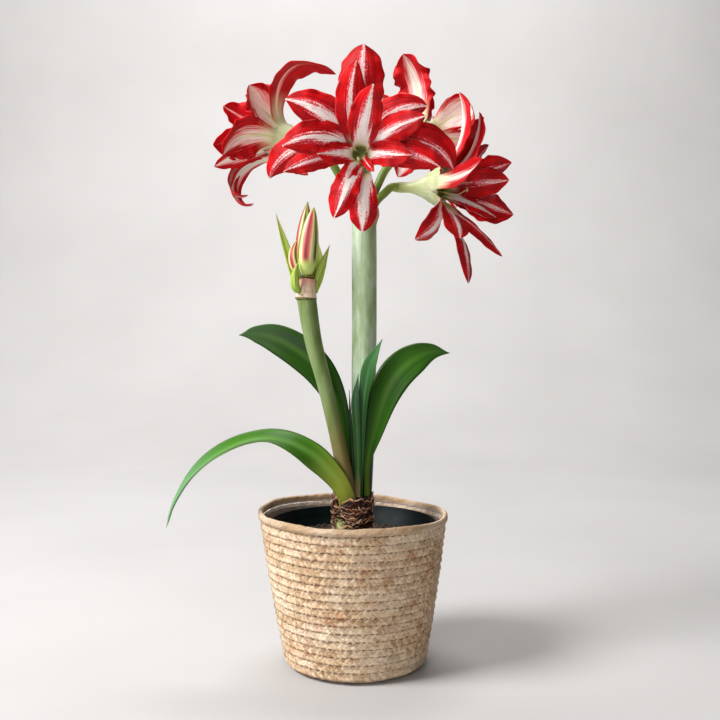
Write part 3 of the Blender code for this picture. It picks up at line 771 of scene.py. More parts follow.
scapeShapes = {
    "tall_scape": ([(8.5, 8, 148), (9, 7.5, 180), (9.7, 7, 215), (10.3, 5, 252), (10.7, 5, 290),
                    (11, 4.4, 325), (11, 4, 360), (11, 4, 398), (11, 4, 436.4)],
                   [9.5, 10.4, 11.2, 11.6, 11.9, 12, 12, 12, 11.6]),
    "bud_scape": ([(-3, -7, 150), (-4.8, -8, 166.4), (-10, -9, 196), (-18.5, -10, 235), (-27.5, -11, 273),
                   (-37.5, -12, 312), (-44, -12, 353)],
                  [8.6, 8.2, 7.6, 7.0, 7.2, 8.2, 9.2]),
}


def scapeRibs(angle, place):
    return 1 + 0.012 * math.sin(angle * 3 + 1) + 0.008 * math.sin(angle * 9 + place * 4)


def scapes():
    # the tall scape's darker green from 0.28 m down is partly its own colour and partly painted shade from
    # the leaves around it
    tall = stemMaterial("glaucous scape", tone(134, 154, 110), tone(200, 216, 196), tone(34, 54, 16),
                        0.28, 0.17)
    young = stemMaterial("young scape", tone(92, 112, 56), tone(128, 146, 96), tone(112, 96, 52),
                         0.26, 0.175)
    for (name, (points, radii)), material in zip(scapeShapes.items(), (tall, young)):
        bm = newBm()
        layTube(bm, smoothPath(points, 72), radii, 36, shape=scapeRibs)
        closeEnds(bm)
        addPiece(name + "_stem", bm, [material], "scape_green", name)


scapes()
print("scapes raised")


# the leaves

Leaf = namedtuple("Leaf", "points widths facings channel thickness seed")

leafShapes = {
    "leaf_broad_left": Leaf(
        [(-9, 4, 150), (-8, 4, 166.4), (-8, 7, 205), (-14, 9, 246), (-29, 11, 277), (-49, 13, 298),
         (-74, 15, 313), (-96, 17, 318), (-112, 18, 317)],
        [7, 7, 11, 19, 29, 33, 29, 16, 0.6], [(-0.6, -1, 0), (0, -1, 0.15), (0, -1, 0.15), (0, -1, 0.2)],
        [0.5, 0.3, 0.12, 0.10], 1.7, 0.15),
    "leaf_arching_left": Leaf(
        [(-4, -12, 150), (-6.8, -17.8, 165), (-16, -20.5, 182), (-34, -22.5, 201), (-53, -24, 213),
         (-72, -25, 219), (-90, -26, 219), (-111, -27, 213), (-134, -28, 200), (-153, -29, 182),
         (-168, -30, 158), (-175, -30, 137)],
        [17, 17, 20, 25, 31, 36, 38, 35, 30, 23, 12, 0.6],
        [(0.1, -1, 0), (-0.1, -1, 0.1), (-0.3, -0.5, 0.8), (-0.1, -0.26, 1), (-0.1, -0.22, 1),
         (-0.3, -0.2, 1), (-0.7, -0.3, 0.8)],
        [-0.3, 0.0, 0.26, 0.3, 0.24], 2.2, 0.42),
    "leaf_right": Leaf(
        [(13, -4, 150), (13.5, -5, 166.4), (14, -7, 195), (20.5, -9, 224), (29, -10, 256), (41, -9, 279),
         (58, -7, 294), (75, -4, 301), (93, -2, 300)],
        [5, 5, 7, 17, 28, 33, 30, 17, 0.6], [(0, -1, 0.1), (-0.1, -1, 0.2), (0, -1, 0.25)],
        [0.6, 0.42, 0.24, 0.12], 1.7, 0.63),
    "leaf_centre_tall": Leaf(
        [(7, -7, 150), (8, -9, 166.4), (9, -13, 200), (9.8, -15, 235), (11.3, -16, 262), (16.5, -17, 289),
         (28, -18, 314)],
        [3, 3, 3.5, 6, 10.5, 13.5, 0.6], [(-0.1, -1, 0), (-0.4, -1, 0.1)], [0.4, 0.4, 0.35], 1.2, 0.81),
    "leaf_centre_short": Leaf(
        [(4, -8, 150), (4.6, -9.5, 166.4), (5, -13, 200), (4, -15, 232), (2.8, -16, 256), (5.4, -16, 281)],
        [6, 6, 6.5, 8, 8.5, 0.6], [(-0.3, -1, 0), (-0.5, -1, 0.1)], [0.4, 0.3, 0.25], 1.3, 0.27),
    "leaf_centre_slender": Leaf(
        [(-1, 2, 150), (-0.5, 2, 166.4), (-0.5, -1.5, 200), (-2.0, -3, 232), (-3.5, -4, 265)],
        [5, 5.5, 6, 4.5, 0.6], [(-0.6, -0.8, 0)] * 2, [0.4, 0.3], 1.2, 0.55),
}

leafLookOf = {"leaf_arching_left": "arching", "leaf_broad_left": "broad", "leaf_right": "dark",
              "leaf_centre_tall": "glaucous", "leaf_centre_short": "shaded", "leaf_centre_slender": "shaded"}

leafLooks = {
    "dark": {"deep": (22, 54, 0), "middle": (34, 78, 4), "light": (52, 98, 10), "rib": (74, 120, 26),
             "base": (84, 106, 24), "tip": (44, 76, 30), "edge": (104, 126, 56)},
    "arching": {"deep": (40, 82, 10), "middle": (58, 108, 24), "light": (78, 130, 40), "rib": (104, 150, 70),
                "base": (154, 162, 62), "tip": (114, 162, 118), "edge": (158, 132, 84)},
    "glaucous": {"deep": (18, 54, 10), "middle": (30, 72, 22), "light": (46, 92, 38), "rib": (80, 122, 84),
                 "base": (22, 60, 6), "tip": (60, 108, 56), "edge": (84, 108, 66)},
    "shaded": {"deep": (14, 38, 6), "middle": (24, 56, 14), "light": (42, 80, 32), "rib": (62, 98, 60),
               "base": (186, 156, 122), "tip": (48, 78, 58), "edge": (120, 136, 60)},
    # broad is painted shade: the dark look with darker tones, for the leaf that lies in the tall scape's
    # shadow
    "broad": {"deep": (10, 34, 0), "middle": (22, 58, 0), "light": (36, 80, 4), "rib": (62, 106, 16),
              "base": (26, 46, 6), "tip": (44, 76, 30), "edge": (92, 112, 44)},
}


def leafMaterial(name, look):
    tones = {key: tone(*value) for key, value in look.items()}
    material, tree, shader = startMaterial(name + " strap leaf", 0.36, Specular_IOR_Level=0.16)
    across, along = sheetPlace(tree)
    tint = tintOf(tree)
    # the sheet is rolled once round the leaf, so its upper side is 0 to 0.5
    folded = calc(tree, "FRACT", times(tree, across, 2.0))
    fromRib = offMiddle(tree, folded)
    veins = streaksOf(tree, folded, along, 46.0, 1.6, tint)
    broad = streaksOf(tree, folded, along, 2.2, 1.2, tint)
    body = ramped(tree, broad, ((0.25, tones["deep"]), (0.5, tones["middle"]), (0.8, tones["light"])))
    body = mixed(tree, graded(tree, veins, 0.42, 0.66, 0, 0.2), body, tones["rib"])
    body = mixed(tree, graded(tree, fromRib, 0.34, 0.02, 0, 0.45), body, tones["rib"])
    body = mixed(tree, graded(tree, along, 0.34, 0.08, 0, 0.9), body, tones["base"])
    body = mixed(tree, graded(tree, along, 0.62, 1.0, 0, 0.85), body, tones["tip"])
    body = mixed(tree, graded(tree, fromRib, 0.94, 1.0, 0, 0.6), body, tones["edge"])
    colourFrom(tree, shader, body)
    roughFrom(tree, shader, broad, 0.26, 0.42)
    bumped(tree, shader, veins, 0.3, 0.3)
    return material


def layLeaf(bm, leaf, steps=64, sides=24):
    path = smoothPath(leaf.points, steps)
    heads = alongPath(path)
    turns = [Vector(facing).normalized() for facing in leaf.facings]
    stations = []
    for index, (point, head) in enumerate(zip(path, heads)):
        part = index / steps
        side = head.cross(readAt(turns, part)).normalized()
        half = max(0.3, readAt(leaf.widths, part)) * mm / 2
        stations.append((point, side, side.cross(head).normalized(), half, readAt(leaf.channel, part), part))

    def place(s, t):
        point, side, normal, half, channel, part = stations[round(t * steps)]
        lower = s > 0.5
        across = 3 - 4 * s if lower else 4 * s - 1
        thick = leaf.thickness * mm / 2 * (0.25 + 0.75 * (1 - across * across)) * min(1, half / (2 * mm))
        if abs(across) > 0.999:
            thick = 0
        lift = channel * half * (math.sqrt(across * across + 0.04) - 0.2)
        lift += 0.05 * half * abs(across) ** 3 * math.sin(part * 17 + across * 1.4 + leaf.seed * 30)
        return point + side * across * half + normal * (lift + (-thick if lower else thick))

    rollSheet(bm, sides, steps, place, leaf.seed)


def addBlade(name, leaf, material, slot, *grid):
    bm = newBm()
    layLeaf(bm, leaf, *grid)
    closeEnds(bm)
    addPiece(name + "_blade", bm, [material], slot, name)


def leaves():
    looks = {name: leafMaterial(name, look) for name, look in leafLooks.items()}
    for name, leaf in leafShapes.items():
        addBlade(name, leaf, looks[leafLookOf[name]], "leaf_green")


leaves()
print("leaves arched")


# the flowers' petals

Petal = namedtuple("Petal", "name ring clock bend length start end width "
                   "twist fold hook ruffle stripe blunt late",
                   defaults=(0, -0.36, 0, 0.12, 1.0, 2.4, 1.0))
Flower = namedtuple("Flower", "throat heading tilt flare stalk petals inner")
PetalMarks = namedtuple("PetalMarks", "along fromMiddle seed stripe feather fine frost")

flowerShapes = {
    "front_flower": Flower(
        (7.0, -62, 479.5), 268, -10, 1.0, [(7, -1, 430), (5.5, -2, 452), (4.5, -8, 470), (4.4, -17, 482)],
        [Petal("top", 0, 1, 4, 83, 48, 114, 39, ruffle=0.15, stripe=0.5, blunt=4.4),
         Petal("upper_right", 1, 30, 64, 71, 38, 110, 30, stripe=0.9, blunt=3),
         Petal("right", 0, 64, 92, 87, 48, 124, 34, stripe=0.1),
         Petal("bottom", 0, 175, 10, 57, 50, 110, 26, stripe=1.6, blunt=3.4),
         Petal("left", 0, -70, -90, 86, 50, 124, 28, stripe=0.7),
         Petal("upper_left", 1, -33, -50, 78, 38, 104, 33, stripe=1.1)],
        [Petal("a", 2, -17, 36, 82, 30, 94, 26, stripe=0.45, blunt=2.8),
         Petal("b", 2, -56, -64, 73, 30, 96, 31, stripe=1.2),
         Petal("c", 1, -92, -26, 64, 38, 100, 20, stripe=0.8),
         Petal("d", 3, 214, -20, 36, 30, 92, 15, stripe=0.8, blunt=1.8),
         Petal("e", 2, 203, -2, 60, 33, 88, 25, stripe=1.3),
         Petal("f", 2, 50, 26, 69, 28, 90, 25, stripe=1.2),
         Petal("g", 1, 82, 42, 69, 36, 98, 26, stripe=0.5),
         Petal("h", 3, 9, 9, 77, 18, 68, 29, stripe=1.2, blunt=2.2),
         Petal("i", 3, -86, -8, 42, 20, 74, 20, stripe=0.9),
         Petal("j", 3, 88, 8, 53, 22, 74, 23, stripe=0.9),
         Petal("k", 4, 140, 0, 27, 10, 66, 8, stripe=0.3)]),
    "left_flower": Flower(
        (-66, 12, 505), 152, 12, 1.0,
        [(7, 8, 430), (-2, 8, 452), (-13, 1, 470), (-24, -6, 487), (-36, -4, 498)],
        [Petal("top", 0, 22, 10, 115, 65, 215, 28, 60, stripe=0.2, ruffle=0.09),
         Petal("upper_left", 0, 40, 0, 50, 30, 84, 44, ruffle=0.12, stripe=1.1, blunt=3.6),
         Petal("near", 0, 88, 66, 64, 42, 96, 40, stripe=0.75),
         Petal("lower", 0, 174, 0, 104, 6, 226, 20, 0, stripe=1.0, ruffle=0.04, late=1.9),
         Petal("under", 0, 195, 0, 36, 125, 190, 18, stripe=0.9, blunt=3),
         Petal("far", 0, -78, 0, 84, 16, 52, 34)],
        [Petal("a", 2, 112, 0, 64, 18, 46, 34, hook=30, ruffle=0.12, stripe=0.3),
         Petal("b", 2, 132, 6, 66, 22, 62, 24, stripe=0.9),
         Petal("c", 2, 62, 0, 60, 16, 54, 28, ruffle=0.26, stripe=0.4, blunt=3.4),
         Petal("d", 1, 165, 0, 100, 4, 222, 18, 0, stripe=1.0, ruffle=0.04, late=1.9),
         Petal("e", 2, -5, 0, 62, 26, 54, 28, ruffle=0.34, stripe=0.3, blunt=3.4),
         Petal("f", 2, -60, 0, 60, 8, 34, 20), Petal("g", 3, 60, 20, 50, 8, 32, 20, ruffle=0.2, stripe=0.3),
         Petal("h", 3, 16, 0, 56, 16, 56, 24, ruffle=0.24, stripe=0.2, blunt=3)]),
    "right_flower": Flower(
        (86, 4, 459), -20, -3, 1.24,
        [(15.3, 0, 430), (22, 0, 444.5), (30, 3, 453), (37, 10, 460), (43, 20, 461.5)],
        [Petal("left_lower", 0, 217, 0, 57, 58, 156, 30, ruffle=0.03, stripe=1.7),
         Petal("bottom", 0, 188, 0, 83, 42, 90, 20, -34, stripe=1.3, ruffle=0.04),
         Petal("upper_left", 0, -42, 0, 34, 50, 100, 22, stripe=0.5),
         Petal("top", 0, -12, 0, 75, 45, 110, 30, -28, 0.5, stripe=0.8, ruffle=0.05),
         Petal("far", 0, 24, 0, 68, 50, 80, 28, stripe=0.1),
         Petal("lower_right", 0, 150, 0, 76, 30, 58, 20, stripe=0.3, ruffle=0.04)],
        [Petal("a", 0, 218, -10, 53, 30, 82, 27, -80, stripe=1.1, ruffle=0.05),
         Petal("b", 0, -80, 24, 65, 14, 60, 25, 10, stripe=0.6, ruffle=0.06),
         Petal("c", 2, -6, 0, 71, 25, 98, 28, -26, 0.5, stripe=0.8, ruffle=0.05),
         Petal("d", 2, 116, 0, 70, 18, 42, 36, stripe=0.03),
         Petal("e", 2, 46, 0, 65, 15, 36, 30, stripe=0.06), Petal("f", 3, 68, 0, 60, 12, 27, 30, stripe=0.04),
         Petal("g", 3, 136, 0, 54, 14, 46, 18, stripe=1.5), Petal("h", 2, 14, 0, 56, 30, 88, 24, stripe=0.6),
         Petal("i", 2, 28, 0, 54, 25, 70, 24, stripe=0.4)]),
    "back_flower": Flower(
        (70, 44, 517), 64, 31, 1.0,
        [(15.3, 8.6, 430), (19, 9, 450), (25, 8, 464), (31, 8, 476), (39, 8, 485), (49, 7, 491)],
        [Petal("top", 0, 4, 8, 70, 42, 116, 38, ruffle=0.26, stripe=0.8, blunt=3.2),
         Petal("upper_right", 0, -68, 0, 49, 42, 96, 36, hook=70, ruffle=0.04, stripe=1.3, blunt=5.0),
         Petal("right", 0, -112, 0, 46, 45, 84, 32, hook=50, ruffle=0.06, blunt=3.4),
         Petal("upper_left", 0, 55, -6, 62, 45, 112, 24, ruffle=0.2),
         Petal("lower_left", 0, 135, 8, 54, 50, 100, 24), Petal("bottom", 0, 188, 0, 80, 50, 105, 24)],
        [Petal("a", 2, 5, 0, 44, 20, 60, 24, stripe=0.6), Petal("b", 2, 90, 0, 60, 22, 65, 24),
         Petal("c", 2, -78, 0, 48, 20, 60, 24), Petal("d", 2, 215, 0, 56, 22, 60, 22),
         Petal("e", 2, 150, 0, 56, 22, 60, 22)]),
}

funnel = {
    "outside": [(0, 15.8), (4, 14.6), (9, 12.9), (15, 10.8), (21, 8.7), (27, 6.7), (32, 5.4), (36, 5.0),
                (41, 5.3), (46, 4.9), (50, 4.0)],   # depth behind the rim and radius
    "wall": 0.9, "depth": 9.0, "sides": 36, "pedicel": 3.9,
    "rings": (15.4, 3.0, 0.8),   # first ring's radius, step inwards and step forwards to the next
    "slope": 27.0,               # how far petals open as they leave the funnel
    "lobes": 0.035,
}

petalForm = {
    "rows": 52, "columns": 22, "innerRows": 46, "innerColumns": 20, "thickness": 0.6,
    "rootRows": 7, "outerRoot": 15.0, "innerRoot": 9.0,   # rows in the funnel, and how deep they start
    "rootHalf": 7.4, "rootReach": 1.5,                    # a foot's widest half, and its least reach outwards
    "outsideGap": 0.35, "insideGap": 1.2, "ringGap": 0.9,   # from the funnel's outside
    "walk": 6,                                            # small steps from one row to the next
    "waves": (20, 41), "scallops": 31,                    # how closely a ruffled edge waves
    "grooveDepth": 0.45, "grooveWidth": 0.10, "unevenness": 0.5,
}


def funnelOutside(depth, flare):
    for (high, wide), (low, narrow) in zip(funnel["outside"], funnel["outside"][1:]):
        if depth <= low:
            here = between(wide, narrow, (depth - high) / (low - high))
            return here * between(flare, 1, ease(depth, 0, 30))
    return funnel["outside"][-1][1]


def flowerAxes(flower):  # where it faces, its own up, and the side clockwise from up
    heading, tilt = math.radians(flower.heading), math.radians(flower.tilt)
    facing = Vector((math.cos(tilt) * math.cos(heading), math.cos(tilt) * math.sin(heading),
                     math.sin(tilt)))
    above = (up - facing * facing.z).normalized()
    return facing, above, (-facing).cross(above)


def petalHalf(petal, place, rootHalf):  # half the width, from the foot through the middle to the tip
    fullHalf = petal.width / 2
    if place < 0.5:
        return between(rootHalf, fullHalf, ease(place, -0.05, 0.5))
    return fullHalf * max(0.0, 1 - ((place - 0.5) / 0.5) ** petal.blunt) ** 0.8


def petalStations(flower, petal, rows):
    facing, above, beside = flowerAxes(flower)
    throat = Vector(flower.throat) * mm
    radius, inwards, forwards = funnel["rings"]
    outer = petal.ring == 0
    ringRadius = (radius - inwards * petal.ring) * flower.flare + (0.5 if outer else 0)
    rootRows, rootDepth = petalForm["rootRows"], petalForm["outerRoot" if outer else "innerRoot"]
    rootHalf = min(petalForm["rootHalf"], petal.width / 2 * 0.8)

    def outward(place):
        clock = math.radians(petal.clock + petal.bend * place ** 1.2)
        return above * math.cos(clock) + beside * math.sin(clock)

    # each spot is a point, where its face looks, its half width and its place,
    # which is below 0 in the funnel and 1 at the tip
    spots = []
    gap = petalForm["outsideGap"] if outer else -petalForm["insideGap"] - petalForm["ringGap"] * petal.ring
    for step in range(rootRows):
        depth = rootDepth * (1 - step / rootRows)
        reach = funnelOutside(depth, flower.flare) + gap
        reach = max(petalForm["rootReach"], between(reach, ringRadius, ease(step / rootRows, 0.5, 1.0)))
        half = rootHalf * max(0.3, reach / 15) * between(0.2, 1, ease(step, 0, 4))
        point = throat - facing * depth * mm + outward(0) * reach * mm
        spots.append((point, -outward(0), half, -1 + step / rootRows))
    point = throat + facing * ((0.3 + forwards * petal.ring) * mm) + outward(0) * ringRadius * mm
    walk = petalForm["walk"]
    bladeSteps = (rows - rootRows) * walk
    for count in range(bladeSteps + 1):
        place = count / bladeSteps
        opening = between(petal.start, petal.end, place ** petal.late) + petal.hook * ease(place, 0.72, 1.0)
        opening = math.radians(between(funnel["slope"], opening, ease(place, -0.04, 0.14)))
        if count % walk == 0:
            face = facing * math.sin(opening) - outward(place) * math.cos(opening)
            spots.append((point.copy(), face, petalHalf(petal, place, rootHalf), place))
        along = facing * math.cos(opening) + outward(place) * math.sin(opening)
        point += along * (petal.length * mm / bladeSteps)
    stations = []
    for (point, face, half, place), head in zip(spots, alongPath([spot[0] for spot in spots])):
        turned = Matrix.Rotation(-math.radians(petal.twist) * max(0, place), 3, head)
        side = turned @ head.cross(face).normalized()
        reach = (point - throat) - facing * (point - throat).dot(facing)
        wrap = max(reach.length, 4 * mm) / max(0.05, head.dot(facing)) / (1 - 0.75 * ease(place, 0.25, 0.8))
        stations.append((point, side, side.cross(head).normalized(), max(half, 0.12) * mm, wrap, place))
    return stations


def layPetal(bm, flower, petal, rows, columns):
    stations = petalStations(flower, petal, rows)
    seed = random.random()
    slow, quick = petalForm["waves"]

    def place(s, t):
        point, side, normal, half, wrap, part = stations[round(t * rows)]
        across = 2 * s - 1
        free = ease(part, 0.0, 0.35)  # 0 where the petal is held by the funnel
        phase = seed * 20 + (2.2 if across > 0 else 0)
        wave = math.sin(part * slow + phase) + 0.4 * math.sin(part * quick + phase * 2.3)
        dent = math.sin(part * petalForm["scallops"] + phase * 1.7)
        scallop = 1 + petal.ruffle * 0.25 * free * dent * across * across
        angle = across * half / wrap
        sideways = wrap * math.sin(angle) * scallop
        lift = wrap * (1 - math.cos(angle))
        lift += petal.fold * free * half * (math.sqrt(across * across + 0.02) - 0.14)
        lift += petal.ruffle * free * half * abs(across) ** 3 * wave
        groove = math.exp(-(across / petalForm["grooveWidth"]) ** 2)
        lift -= petalForm["grooveDepth"] * mm * groove * free * min(1, half / (6 * mm))
        spot = point + side * sideways + normal * lift
        return spot + normal * petalForm["unevenness"] * mm * free * ripple(spot + Vector((seed, 0, 0)), 9)

    layer = bm.verts.layers.float["stripe"]
    for vert in laySheet(bm, columns, rows, place, seed):
        vert[layer] = petal.stripe


def petalMaterial(name, rough):
    material, tree, shader = startMaterial(name, rough, Subsurface_Weight=0.24, Subsurface_Scale=0.0014,
                                           Specular_IOR_Level=0.16)
    across, along = sheetPlace(tree)
    seed = tintOf(tree)
    stripe = addNode(tree, "Attribute", attribute_name="stripe").outputs["Fac"]
    feather = streaksOf(tree, across, along, 20.0, 2.2, seed, 3.0)
    fine = streaksOf(tree, across, along, 64.0, 4.0, seed)
    frost = solidNoise(tree, 950.0, 2.0)
    bumped(tree, shader, calc(tree, "ADD", feather, calc(tree, "MULTIPLY_ADD", frost, 0.25, fine)), 0.8, 0.6)
    roughFrom(tree, shader, fine, rough - 0.1, rough + 0.1)
    marks = PetalMarks(along, offMiddle(tree, across), seed, stripe, feather, fine, frost)
    return material, tree, shader, marks


def petalFaceMaterial():
    material, tree, shader, marks = petalMaterial("petal face", 0.48)
    along, fromMiddle, fine = marks.along, marks.fromMiddle, marks.fine
    mottle = solidNoise(tree, 60.0)
    red = mixed(tree, graded(tree, mottle, 0.35, 0.65), tone(168, 0, 6), tone(218, 0, 8))
    red = mixed(tree, graded(tree, marks.feather, 0.52, 0.34, 0, 0.6), red, tone(124, 0, 10))
    glint = times(tree, graded(tree, fine, 0.56, 0.72), graded(tree, marks.frost, 0.42, 0.6, 0.05, 0.5))
    red = mixed(tree, glint, red, tone(240, 74, 84))
    band = ramped(tree, along, ((0.0, 0.98), (0.17, 0.90), (0.28, 0.50), (0.50, 0.24), (0.78, 0.13),
                                (0.93, 0.07), (0.98, 0.12), (1.0, 0.9)))
    reach = times(tree, band, times(tree, marks.stripe, graded(tree, marks.seed, 0, 1, 0.85, 1.15)))
    for sway, amount in ((marks.feather, 0.8), (fine, 0.42), (marks.frost, 0.6)):
        reach = swayed(tree, reach, sway, amount)
    white = graded(tree, calc(tree, "SUBTRACT", reach, fromMiddle), -0.30, 0.20)
    colour = mixed(tree, graded(tree, white, 0.0, 0.5), red, tone(224, 74, 88))
    pale = mixed(tree, graded(tree, fine, 0.56, 0.70, 0, 0.55), tone(252, 240, 236), tone(228, 120, 128))
    colour = mixed(tree, graded(tree, white, 0.35, 0.95), colour, pale)
    base = times(tree, graded(tree, along, 0.34, 0.20), graded(tree, fromMiddle, 1.1, 0.3))
    colour = mixed(tree, times(tree, base, 0.8), colour, tone(234, 230, 186))
    colour = mixed(tree, graded(tree, along, 0.24, 0.13), colour, tone(180, 184, 100))
    colour = mixed(tree, graded(tree, fromMiddle, 0.955, 0.99, 0, 0.3), colour, tone(240, 120, 120))
    colourFrom(tree, shader, colour)
    return material


def petalBackMaterial():
    material, tree, shader, marks = petalMaterial("petal back", 0.52)
    along, fromMiddle, fine = marks.along, marks.fromMiddle, marks.fine
    cream = mixed(tree, graded(tree, fine, 0.44, 0.68, 0, 0.65), tone(254, 247, 240), tone(234, 182, 176))
    margin = fromMiddle
    for sway, amount in ((marks.feather, 0.85), (fine, 0.45), (along, 0.45)):
        margin = swayed(tree, margin, sway, amount)
    margin = calc(tree, "MULTIPLY_ADD", calc(tree, "SUBTRACT", 1.0, marks.stripe), 0.7, margin)
    colour = mixed(tree, graded(tree, margin, 0.25, 0.65, 0, 0.75), cream, tone(226, 92, 100))
    red = mixed(tree, graded(tree, fine, 0.35, 0.65), tone(158, 0, 12), tone(214, 6, 22))
    colour = mixed(tree, graded(tree, margin, 0.52, 0.72), colour, red)
    base = times(tree, graded(tree, along, 0.42, 0.18), graded(tree, fromMiddle, 1.2, 0.4))
    colour = mixed(tree, times(tree, base, 0.8), colour, tone(236, 232, 190))
    rib = times(tree, graded(tree, fromMiddle, 0.14, 0.03), graded(tree, along, 0.75, 0.35))
    rib = times(tree, rib, graded(tree, marks.stripe, 0.3, 0.9, 0, 0.6))
    colour = mixed(tree, rib, colour, tone(190, 204, 92))
    root = mixed(tree, graded(tree, marks.feather, 0.44, 0.62), tone(208, 211, 174), tone(190, 202, 138))
    colour = mixed(tree, graded(tree, along, 0.24, 0.14), colour, root)
    colourFrom(tree, shader, colour)
    return material


def tubeMaterial():
    material, tree, shader = startMaterial("flower tube", 0.42, Subsurface_Weight=0.1, Subsurface_Scale=0.003)
    across, along = sheetPlace(tree)
    lines = streaksOf(tree, across, along, 40.0, 3.0, tintOf(tree))
    colour = ramped(tree, along, (  # from the stalk's foot, over the funnel's rim at 0.8, into its middle
        (0.0, tone(86, 104, 44)), (0.35, tone(124, 152, 58)), (0.54, tone(140, 168, 72)),
        (0.63, tone(190, 202, 138)), (0.72, tone(210, 214, 178)), (0.80, tone(216, 216, 190)),
        (0.84, tone(204, 206, 158)), (0.91, tone(184, 190, 112)), (0.96, tone(146, 150, 70)),
        (1.0, tone(96, 98, 40))))
    streaks = times(tree, graded(tree, lines, 0.46, 0.62), graded(tree, along, 0.52, 0.62))
    colour = mixed(tree, times(tree, streaks, 0.55), colour, tone(178, 196, 104))
    colourFrom(tree, shader, colour)
    bumped(tree, shader, lines, 0.3, 0.3)
    return material


def flowerTube(name, flower, material):  # stalk, swollen ovary, and a funnel with an inside
    facing = flowerAxes(flower)[0]
    throat = Vector(flower.throat) * mm
    stalkSteps, insideSteps = 24, 8
    base = (throat - facing * (funnel["outside"][-1][0] + 2) * mm) / mm
    path = smoothPath(flower.stalk + [tuple(base)], stalkSteps)
    radii = [funnel["pedicel"] * (1.12 - 0.12 * ease(step, 0, 5)) for step in range(stalkSteps + 1)]
    for depth, _ in reversed(funnel["outside"]):
        path.append(throat - facing * depth * mm)
        radii.append(funnelOutside(depth, flower.flare))
    for step in range(insideSteps + 1):
        part = step / insideSteps
        depth = funnel["depth"] * part ** 1.1
        path.append(throat - facing * depth * mm)
        radii.append((funnelOutside(depth, flower.flare) - funnel["wall"]) * max(0.02, 1 - part ** 2.2))
    steps = len(path) - 1
    heads = alongPath(path)
    for index in range(stalkSteps + 2, steps + 1):
        heads[index] = facing
    sides = sidesAlong(heads)

    def place(s, t):
        index = round(t * steps)
        angle = math.tau * s
        lobes = 1 + funnel["lobes"] * math.cos(3 * angle) * ease(index, stalkSteps - 2, stalkSteps + 4)
        side = sides[index]
        across = side * math.cos(angle) + heads[index].cross(side) * math.sin(angle)
        return path[index] + across * radii[index] * lobes * mm

    bm = newBm()
    rollSheet(bm, funnel["sides"], steps, place, random.random())
    closeEnds(bm)
    addPiece(name + "_stalk_and_funnel", bm, [material], "flower_stalk_green", name + "_tube")


stamen = {
    "firstClock": 70, "foot": 20, "throatSpread": 4.5, "spread": 7, "rise": (1, 5),
    "filament": [0.8, 0.7, 0.6, 0.5, 0.45], "anther": [0.1, 0.8, 0.9, 0.8, 0.1], "antherHalf": 2.4,
    "lengths": (18, 24, 21), "frontLengths": (8, 12, 5),   # the front flower's are shorter
}


def stamenMaterial():
    material, tree, shader = startMaterial("stamens", 0.5, Subsurface_Weight=0.1, Subsurface_Scale=0.002)
    along = sheetPlace(tree)[1]
    colour = ramped(tree, along, (
        (0.0, tone(170, 170, 84)), (0.5, tone(214, 204, 146)), (1.0, tone(232, 214, 160))))
    dust = solidNoise(tree, 900.0)
    colour = mixed(tree, graded(tree, dust, 0.5, 0.7, 0, 0.4), colour, tone(226, 196, 140))
    colourFrom(tree, shader, colour)
    bumped(tree, shader, dust, 0.5, 0.3)
    return material


def stamens(name, flower, material, lengths):
    facing, above, beside = flowerAxes(flower)
    throat = Vector(flower.throat)
    spread = stamen["spread"]
    bm = newBm()
    for count, length in enumerate(lengths):
        clock = math.radians(stamen["firstClock"] + 360 / len(lengths) * count)
        out = above * math.cos(clock) + beside * math.sin(clock)
        rise = above * random.uniform(*stamen["rise"])
        points = [throat - facing * stamen["foot"] + out * 2, throat + out * stamen["throatSpread"],
                  throat + facing * length * 0.6 + out * spread,
                  throat + facing * length + out * spread + rise]
        path = smoothPath(points, 14)
        layTube(bm, path, stamen["filament"], 8, tint=count / 7)
        tip = path[-1] / mm
        lean = (out * 0.6 + above).normalized() * stamen["antherHalf"]
        anther = smoothPath([tip - lean, tip + facing, tip + lean], 8)
        layTube(bm, anther, stamen["anther"], 8, tint=0.5 + count / 9)
    faceOutwards(bm)
    addPiece(name + "_stamens", bm, [material], "petal_red_white")


def flowers():
    looks = [petalFaceMaterial(), petalBackMaterial()]
    tube, thread = tubeMaterial(), stamenMaterial()
    for name, flower in flowerShapes.items():
        flowerTube(name, flower, tube)
        for petal in flower.petals:
            bm = newBm()
            layPetal(bm, flower, petal, petalForm["rows"], petalForm["columns"])
            piece = addPiece(name + "_" + petal.name, bm, looks, "petal_red_white",
                             name + "_petal_" + petal.name)
            thicken(piece, petalForm["thickness"], 1)
        bm = newBm()
        for petal in flower.inner:
            layPetal(bm, flower, petal, petalForm["innerRows"], petalForm["innerColumns"])
        piece = addPiece(name + "_inner", bm, looks, "petal_red_white", name + "_inner_petals")
        thicken(piece, petalForm["thickness"], 1)
        stamens(name, flower, thread, stamen["frontLengths" if name == "front_flower" else "lengths"])
        print(name, "opened")


flowers()


# the second scape's buds, their collar and the bracts

budShapes = {
    "bud_large_front": (
        [(-43.5, -15, 371.6), (-42.5, -17, 394), (-40, -17, 418), (-36.5, -16, 438)], 9.6, 0.7),
    "bud_large_back": (
        [(-45, -6.8, 371.6), (-47, 5, 394), (-46.5, 7, 420), (-43.5, 6, 446)], 8.4, 0.2),
    "bud_medium_left": (
        [(-49, -9, 371.6), (-55.5, -9.5, 384), (-57, -8.5, 396), (-53.5, -6, 408)], 4.8, 0.75),
    "bud_small_left": (
        [(-50.2, -20.7, 357), (-54, -23, 364), (-54, -23.5, 375), (-51, -23, 386)], 4.2, 0.9),
}

